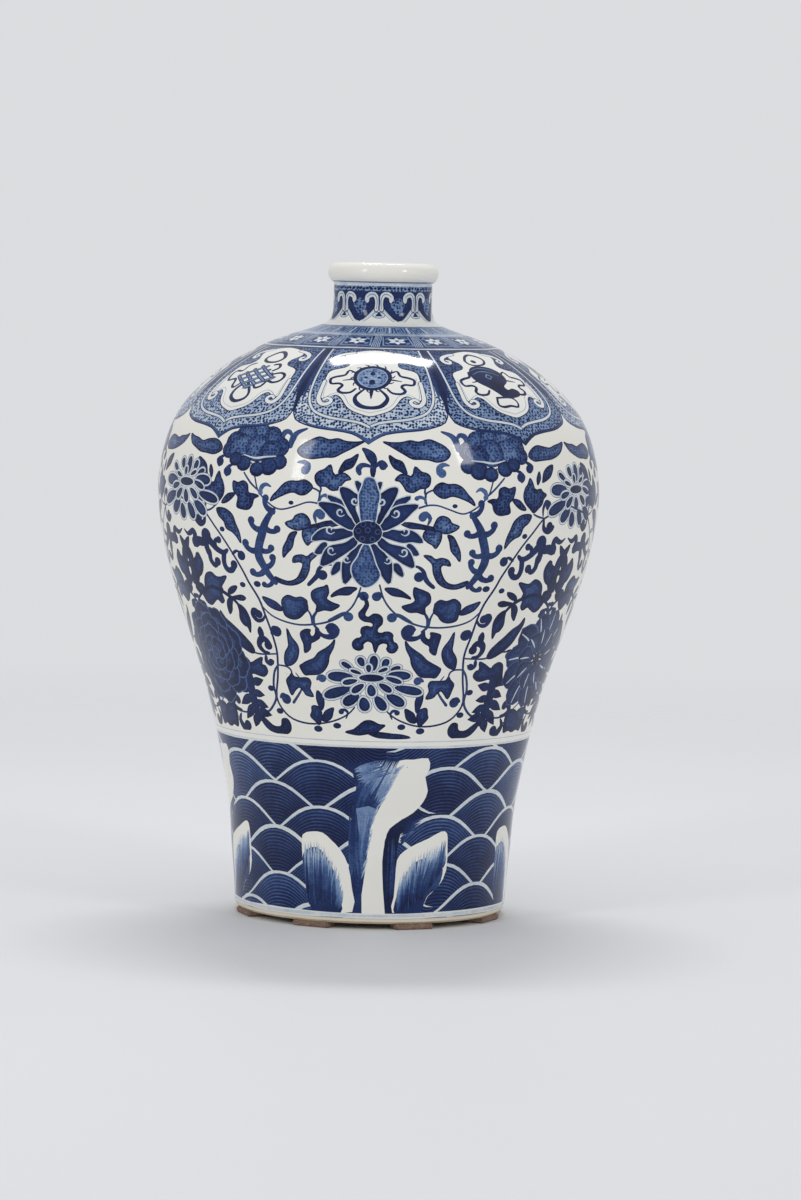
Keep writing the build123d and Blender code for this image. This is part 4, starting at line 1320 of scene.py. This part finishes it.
# The glaze coat: one thin coat of clear glaze over the painting, the lip and the whole inside, fired
# until it is glassy. The cobalt lies under it, so each patch of blue is cut into this coat's surface.
segments = 144
column_step = 360 / segments
turns = np.arange(segments + 1) * column_step
tile_columns = 12
tile_heights = [glaze_line_height, 48, 93, 134, 175, 215, 256, 318, 350, lip_height]
row_steps = [4.6, 4.6, 4.6, 4.6, 4.6, 4.6, 4.2, 3.2, 1.1]
snap_distance = 0.002
rings = [np.array(patch[0]) for patch in patches]


def within(spots, ring):
    """Which of the places a closed outline goes round."""
    x, y = spots[:, :1], spots[:, 1:]
    (x0, y0), (x1, y1) = ring.T, np.roll(ring, -1, axis=0).T
    side = (x1 - x0) * (y - y0) - (x - x0) * (y1 - y0)
    rising, falling = (y0 <= y) & (y1 > y) & (side > 0), (y0 > y) & (y1 <= y) & (side < 0)
    return rising.sum(axis=1) != falling.sum(axis=1)


def tile(left, low, high, step):
    """Triangles of one tile of the sheet, cut along every patch's outline, each with its top patch."""
    right = left + tile_columns * column_step
    scale = per_degree((low + high) / 2)
    rows = max(round((high - low) / step), 1)
    ups = [(high - low) * n / rows for n in range(rows + 1)]
    acrosses = [column_step * scale * n for n in range(tile_columns + 1)]
    spots = [(x, y) for x in acrosses for y in ups]
    stride, last = len(ups), len(spots) - 1
    border = [*range(0, last, stride), *range(last - rows, last), *range(last, rows, -stride),
              *range(rows, 0, -1)]
    edges = list(zip(border, border[1:] + border[:1]))
    near = []
    for name, ring in enumerate(rings):
        (least, lowest), (most, highest) = ring.min(axis=0), ring.max(axis=0)
        if lowest < high and highest > low:
            for shift in (-360, 0, 360):
                if least + shift < right and most + shift > left:
                    near.append((name, (ring + (shift - left, -low)) * (scale, 1)))
    for name, ring in near:
        first, count = len(spots), len(ring)
        edges += [(first + n, first + (n + 1) % count) for n in range(count)]
        spots += ring.tolist()
    cut = delaunay_2d_cdt([Vector(spot) for spot in spots], edges, [], 0, snap_distance)
    places, triangles = np.array([spot[:] for spot in cut[0]]), np.array(cut[2])
    middles = places[triangles].mean(axis=1)
    kept = np.all((middles > 0) & (middles < (acrosses[-1], ups[-1])), axis=1)
    triangles, middles = triangles[kept], middles[kept]
    marks = np.full(len(triangles), -1)
    for name, ring in near:
        close = np.all((middles > ring.min(axis=0)) & (middles < ring.max(axis=0)), axis=1).nonzero()[0]
        marks[close[within(middles[close], ring)]] = name
    return places / (scale, 1) + (left, low), triangles, marks


def thinned(line, sag):
    """The line with only the points that keep it within that distance of where it was."""
    kept, start = [line[0]], 0
    for end in range(2, len(line)):
        a, b = Vector(line[start]), Vector(line[end])
        along = (b - a).normalized()
        if any(abs(along.cross(Vector(line[n]) - a)) > sag for n in range(start + 1, end)):
            start = end - 1
            kept.append(line[start])
    return kept + [line[-1]]


def as_metres(angles, radius, height):
    """Places in metres from degrees round the vase and millimetres."""
    turn = np.radians(angles)
    place = np.broadcast_arrays(radius * np.sin(turn), -radius * np.cos(turn), height)
    return np.stack(place, axis=-1) / 1000


def along_line(column, at):
    """What a column of the fine outside line says at heights up it."""
    return np.interp(at, fine_places, column)


# up to where in its square of texture each part of a piece goes: the painted outside, the lip and the
# inside's start, the skin under the outside, and the cut edges at head and foot
sheet_share, lip_share, inside_share, skin_share = 0.7, 0.96, 0.97, 0.98
head_cut_share, foot_cut_share = 0.99, 0.995


def painted_sheet(low_row, high_row):
    """The outside of one stretch of the coat: places, triangles, and what each triangle's corners show."""
    tiles = [tile(n * tile_columns * column_step, tile_heights[row], tile_heights[row + 1], row_steps[row])
             for n in range(segments // tile_columns) for row in range(low_row, high_row)]
    starts = np.cumsum([0] + [len(places) for places, cut, names in tiles])
    sheet = np.concatenate([places for places, cut, names in tiles])
    triangles = np.concatenate([cut + start for (places, cut, names), start in zip(tiles, starts)])
    marks = np.concatenate([names for places, cut, names in tiles])
    angles, ups = sheet[triangles, 0], sheet[triangles, 1]

    # the blue's strength, its stipple and its ripple at each triangle's corners
    strength, strength_end, stipple = (np.array([patch[n] for patch in patches] + [0.0])[marks]
                                       for n in (1, 2, 4))
    spans = [patch[3] or ((0, 0), (0, 1)) for patch in patches] + [((0, 0), (0, 1))]
    start, end = (np.array([span[n] for span in spans], dtype=float)[marks] for n in (0, 1))
    scale = np.radians(along_line(fine_line[:, 0], start[:, 1]))
    run, rise = (end[:, 0] - start[:, 0]) * scale, end[:, 1] - start[:, 1]
    across = ((angles - start[:, :1] + 180) % 360 - 180) * scale[:, None]
    length = run * run + rise * rise
    share = (across * run[:, None] + (ups - start[:, 1:]) * rise[:, None]) / length[:, None]
    share = np.clip(share, 0, 1)
    cobalt = np.ones((*angles.shape, 4))
    cobalt[..., 0] = strength[:, None] * (1 - share) + strength_end[:, None] * share
    cobalt[..., 1] = stipple[:, None]
    cobalt[..., 2] = 0
    for name in np.unique(marks):
        if name >= 0 and patches[name][5]:
            cobalt[marks == name, :, 2] = patches[name][5](angles[marks == name], ups[marks == name])

    slope_r, slope_z = along_line(fine_slope[:, 0], ups), along_line(fine_slope[:, 1], ups)
    steep = np.hypot(slope_r, slope_z)
    facing = as_metres(angles, slope_z / steep, -slope_r / steep) * 1000
    radius, height = along_line(fine_line[:, 0], sheet[:, 1]), along_line(fine_line[:, 1], sheet[:, 1])
    low, high = tile_heights[low_row], tile_heights[high_row]
    flat = np.stack([angles / 360, (ups - low) / (high - low) * sheet_share], axis=-1)
    places = as_metres(sheet[:, 0], radius, height)
    return places, triangles, facing.reshape(-1, 3), cobalt.reshape(-1, 4), flat.reshape(-1, 2), sheet


glaze_thickness = 0.5
under_step = 1.2
under_sag = 0.00012
lip_sag = 0.00004


def turned_skin(line, sag, low, high):
    """The stretch of the coat that a plain outline makes when it is turned round the axis."""
    line = np.array(thinned(line, sag))
    direction = np.gradient(line, axis=0)
    direction /= np.hypot(*direction.T)[:, None]
    rings = as_metres(turns[None, :], line[:, :1] * 1000, line[:, 1:] * 1000).reshape(-1, 3)
    normals = as_metres(turns[None, :], direction[:, 1:], -direction[:, :1]).reshape(-1, 3) * 1000
    shares = np.linspace(low, high, len(line))[:, None]
    flat = np.stack(np.broadcast_arrays(turns[None, :] / 360, shares), axis=-1)
    row, column = np.meshgrid(np.arange(len(line) - 1), np.arange(segments), indexing="ij")
    first = (row * (segments + 1) + column).ravel()
    quads = np.stack([first, first + 1, first + segments + 2, first + segments + 1], axis=-1)
    blank = np.tile((0.0, 0.0, 0.0, 1.0), (quads.size, 1))
    return rings, quads, normals[quads.ravel()], blank, flat.reshape(-1, 2)[quads.ravel()]


def under_outside(height):
    """The place half a millimetre under the outside at a height up it, where the coat meets the clay."""
    radius, rise = along_line(fine_line[:, 0], height), along_line(fine_line[:, 1], height)
    out, up = along_line(fine_slope[:, 1], height), -along_line(fine_slope[:, 0], height)
    size = math.hypot(out, up) / glaze_thickness
    return float(radius - out / size) / 1000, float(rise - up / size) / 1000


rim_slack = 1e-4


def cut_wall(sheet, height, way, skin_place):
    """The cut edge of the coat, from the painted outside's own places to the columns of the skin under it."""
    rim = sorted({round(float(angle), 6) for angle, up in sheet if abs(up - height) < touching} | {360.0})
    radius, rise = (float(along_line(fine_line[:, n], height)) for n in (0, 1))
    inside = under_outside(height)
    spots = [*as_metres(np.array(rim), radius, rise), *as_metres(turns, inside[0] * 1000, inside[1] * 1000)]
    faces = []
    for column in range(segments):
        low, high = turns[column] - rim_slack, turns[column + 1] + rim_slack
        outer = [n for n, angle in enumerate(rim) if low <= angle <= high]
        face = outer + [len(rim) + column + 1, len(rim) + column]
        faces.append(face if way > 0 else face[::-1])
    corners = sum(faces, [])
    flat = [((rim + list(turns))[n] / 360, skin_place) for n in corners]
    blank = np.tile((0.0, 0.0, 0.0, 1.0), (len(corners), 1))
    return np.array(spots), faces, np.tile((0.0, 0.0, float(way)), (len(corners), 1)), blank, np.array(flat)


merge_distance = 0.00001
spur_sweeps = 3
widest_gap = 8


def glaze_piece(name, low_row, high_row):
    """One closed stretch of the coat: its painted outside, its cut edges, and the turned skins under it."""
    low, high = tile_heights[low_row], tile_heights[high_row]
    top_piece, foot_piece = high_row == len(row_steps), low_row == 0
    sheet = painted_sheet(low_row, high_row)
    parts = [sheet[:-1]]
    count = round((high - low) / under_step)
    under = [under_outside(high + (low - high) * n / count) for n in range(count + 1)]
    if top_piece:
        inner_side = coat_line[:foot:-1]
        cut_at = min(range(len(inner_side)), key=lambda n: math.dist(inner_side[n], under[0]))
        over_lip = [tuple(outside[-1] / 1000), *coat_line[lip - 1::-1], (0.0, coat_line[0][1])]
        under_inside = [(0.0, coat_line[-1][1]), *inner_side[:cut_at], *under]
        parts.append(turned_skin(over_lip, lip_sag, sheet_share, lip_share))
        parts.append(turned_skin(under_inside, under_sag, inside_share, 1))
    else:
        skin = under + [tuple(outside[0] / 1000)] if foot_piece else under
        parts.append(turned_skin(skin, under_sag, sheet_share, skin_share))
        parts.append(cut_wall(sheet[-1], high, 1, head_cut_share))
    if not foot_piece:
        parts.append(cut_wall(sheet[-1], low, -1, foot_cut_share))
    faces, base = [], 0
    for part in parts:
        faces += [[int(corner) + base for corner in face] for face in part[1]]
        base += len(part[0])
    places, facing, cobalt, flat = (np.concatenate([part[n] for part in parts]) for n in (0, 2, 3, 4))
    mesh = bpy.data.meshes.new(name)
    mesh.from_pydata(places.tolist(), [], faces)
    mesh.attributes.new("facing", "FLOAT_VECTOR", "CORNER").data.foreach_set("vector", facing.ravel())
    mesh.attributes.new("cobalt", "FLOAT_COLOR", "CORNER").data.foreach_set("color", cobalt.ravel())
    mesh.uv_layers.new(name="OFBake").data.foreach_set("uv", flat.ravel())

    # the parts become one skin: slivers that hang on its edges go, and the gaps they leave are closed
    whole = bmesh.new()
    whole.from_mesh(mesh)
    bmesh.ops.remove_doubles(whole, verts=whole.verts, dist=merge_distance)
    for sweep in range(spur_sweeps):
        spurs = [face for face in whole.faces if any(edge.is_boundary for edge in face.edges)
                 and sum(not edge.is_manifold for edge in face.edges) > 1]
        bmesh.ops.delete(whole, geom=spurs, context="FACES")
    bmesh.ops.holes_fill(whole, edges=[edge for edge in whole.edges if edge.is_boundary], sides=widest_gap)
    whole.to_mesh(mesh)
    whole.free()
    facing = np.zeros(len(mesh.loops) * 3)
    mesh.attributes["facing"].data.foreach_get("vector", facing)
    mesh.attributes.remove(mesh.attributes["facing"])
    mesh.shade_smooth()
    mesh.normals_split_custom_set(facing.reshape(-1, 3))
    piece = bpy.data.objects.new(name, mesh)
    bpy.context.collection.objects.link(piece)
    return piece


cuts = {"glaze_over_waves": (0, 2), "glaze_over_lower_scroll": (2, 4), "glaze_over_upper_scroll": (4, 6),
        "glaze_over_lappets": (6, 8), "glaze_over_neck_and_lip": (8, 9)}
glaze_pieces = [glaze_piece(name, *rows) for name, rows in cuts.items()]


def glassy(colour):
    """The glaze's own sockets, over the colour that shows through it."""
    dimples = noise(0.009, detail=1.0, seed=21.0)
    return {"Base Color": colour, "Roughness": 0.075 + noise(0.02, seed=22.0) * 0.03, "IOR": 1.5,
            "Specular IOR Level": 0.28, "Normal": raised(dimples, 0.00006)}


def blue_and_white():
    paint = Tint.node("ShaderNodeAttribute", attribute_name="cobalt")
    split = {"Color": paint}
    strength = Tint.node("ShaderNodeSeparateColor", split, out=0)
    stipple = Tint.node("ShaderNodeSeparateColor", split, out=1)
    ripple = Tint.node("ShaderNodeSeparateColor", split, out=2)
    dot_spacing, arc_spacing, speck_spacing = 0.00145, 1.75, 0.012
    place = Tint.node("ShaderNodeTexCoord", out=3)
    dots = Tint.node("ShaderNodeTexVoronoi", {"Vector": place, "Scale": 1 / dot_spacing, "Randomness": 0.6})
    heaped = 1 - dots.step(0.3, 0.55)
    painted = strength.step(0.02, 0.14)
    pooling = noise(0.011, seed=11.0) - 0.5
    streaks = noise(0.0022, detail=5.0, seed=12.0) - 0.5
    arcs = (ripple * (ripple_reach * math.tau / arc_spacing)).sum("SINE")
    tone = (strength + stipple * stipple * (heaped - 0.4) * 0.22 + painted * (pooling * 0.3 + streaks * 0.2)
            + arcs * 0.3 * noise(0.012, seed=13.0))
    blue = tone.ramp((0.0, as_seen(238, 237, 232)), (0.13, as_seen(200, 211, 221)),
                     (0.34, as_seen(124, 149, 187)), (0.58, as_seen(62, 90, 140)),
                     (0.78, as_seen(24, 47, 98)), (1.0, as_seen(3, 14, 54)))
    warmth = between(as_seen(255, 255, 255), as_seen(251, 249, 242), noise(0.05, seed=14.0))
    specks = Tint.node("ShaderNodeTexVoronoi",
                       {"Vector": place, "Scale": 1 / speck_spacing, "Randomness": 1.0})
    speck = 1 - specks.step(0.018, 0.034)
    toned = Tint.node("ShaderNodeMix", {0: 1.0, 6: blue, 7: warmth}, out=2, data_type="RGBA",
                      blend_type="MULTIPLY")
    return glassy(between(toned, as_seen(40, 36, 44), speck * 0.5))


glaze_finish = finish("blue_and_white_glaze", blue_and_white)
for piece in glaze_pieces:
    piece.data.materials.append(glaze_finish)
    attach(piece, "root")
    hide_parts("glaze_coat")


def plain_glaze():
    cloud = noise(0.03, seed=15.0)
    return glassy(between(as_seen(233, 232, 227), as_seen(220, 221, 219), cloud))


dress(finish("plain_glaze", plain_glaze), "base_glaze")


# The felt pads: eight small blocks of brown wool felt stuck under the foot ring, cut by hand and
# squashed a little by the vase's weight.
def felt():
    fluff = noise(0.0007, detail=6.0, seed=31.0)
    patchy = noise(0.004, seed=32.0)
    colour = (fluff * 0.7 + patchy * 0.3).ramp((0.3, as_seen(80, 62, 52)), (0.5, as_seen(128, 104, 90)),
                                               (0.72, as_seen(172, 146, 128)))
    return {"Base Color": colour, "Roughness": 0.95, "Normal": raised(fluff, 0.0004)}


felt_finish = finish("wool_felt", felt)
pad_inset = 0.0003
edge_round = 0.0008
roughness = 0.00008
for name in [f"felt_pad_{n}" for n in range(1, 9)]:
    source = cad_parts[name]
    low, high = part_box(name)
    middle = (low + high) / 2
    turn = math.atan2(middle.x, -middle.y)
    unturned = Matrix.Rotation(-turn, 4, "Z")
    spots = [unturned @ v.co for v in source.data.vertices]
    least = [min(spot[k] for spot in spots) for k in range(3)]
    most = [max(spot[k] for spot in spots) for k in range(3)]
    size = [most[k] - least[k] for k in range(3)]
    centre = Vector([(most[k] + least[k]) / 2 for k in range(3)])
    bpy.ops.mesh.primitive_cube_add(size=1)
    pad = bpy.context.object
    pad.name = pad.data.name = f"pad_of_felt_{name[-1]}"
    for v in pad.data.vertices:
        across, deep = size[0] - 2 * pad_inset, size[1] - 2 * pad_inset
        v.co = Vector((v.co.x * across, v.co.y * deep, v.co.z * size[2]))
    bpy.ops.object.mode_set(mode="EDIT")
    bpy.ops.mesh.select_all(action="SELECT")
    bpy.ops.mesh.bevel(offset=edge_round, segments=3, affect="EDGES")
    bpy.ops.mesh.select_all(action="SELECT")
    bpy.ops.mesh.subdivide(number_cuts=4)
    bpy.ops.object.mode_set(mode="OBJECT")
    for v in pad.data.vertices:
        side = 1 - (2 * abs(v.co.z) / size[2]) ** 2
        grow = 1 + side * pad_inset / size[1]
        rough = hand.uniform(-roughness, roughness) if abs(v.co.z) < size[2] * 0.45 else 0
        v.co = Vector((v.co.x * grow + rough, v.co.y * grow + rough, v.co.z)) + centre
    pad.data.transform(Matrix.Rotation(turn, 4, "Z"))
    bpy.ops.object.shade_smooth()
    pad.data.materials.append(felt_finish)
    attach(pad, "root")
    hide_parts(name)
    pad.select_set(False)


# What the vase stands on, and the light: a plain pale table top that fades into the pale room, under
# a long soft lamp overhead, with a strip of light at the left and a small one at the right.
bpy.ops.mesh.primitive_circle_add(vertices=64, radius=1.6, fill_type="NGON")
table = bpy.context.object
table.name = "table"


def pale_table():
    soft = noise(0.4, seed=41.0)
    place = Tint.node("ShaderNodeTexCoord", out=3)
    away = Tint.node("ShaderNodeVectorMath", {0: place}, out=1, operation="LENGTH")
    return {"Base Color": between(as_seen(226, 227, 228), as_seen(220, 221, 223), soft), "Roughness": 0.6,
            "Alpha": 1 - away.step(0.35, 1.5)}


table.data.materials.append(finish("pale_table", pale_table))


def lamp(name, place, aim, size, power):
    """A soft rectangular lamp at a place, turned to the point that it lights."""
    data = bpy.data.lights.new(name, "AREA")
    data.shape = "RECTANGLE"
    data.size, data.size_y = size
    data.energy = power
    light = bpy.data.objects.new(name, data)
    light.location = place
    light.rotation_euler = (Vector(aim) - Vector(place)).to_track_quat("-Z", "Y").to_euler()
    bpy.context.collection.objects.link(light)


lamp("overhead_softbox", (0.0, 0.66, 1.5), (0, 0, 0.3), (0.6, 0.17), 8)
lamp("left_strip", (-1.15, -1.3, 0.95), (0, 0, 0.2), (0.24, 0.8), 6)
lamp("right_fill", (1.4, -1.3, 1.2), (0, 0, 0.2), (0.3, 0.5), 6)
room = bpy.data.worlds.new("pale_room")
room.use_nodes = True
bpy.context.scene.world = room
Tint.tree = room.node_tree
seen = Tint.node("ShaderNodeLightPath", out=0)
sky = room.node_tree.nodes["Background"]
sky.inputs["Color"].default_value = (*as_seen(236, 237, 240), 1)
room_light, added_where_seen = 0.74, 0.11
Tint.tree.links.new((seen * added_where_seen + room_light).socket, sky.inputs["Strength"])
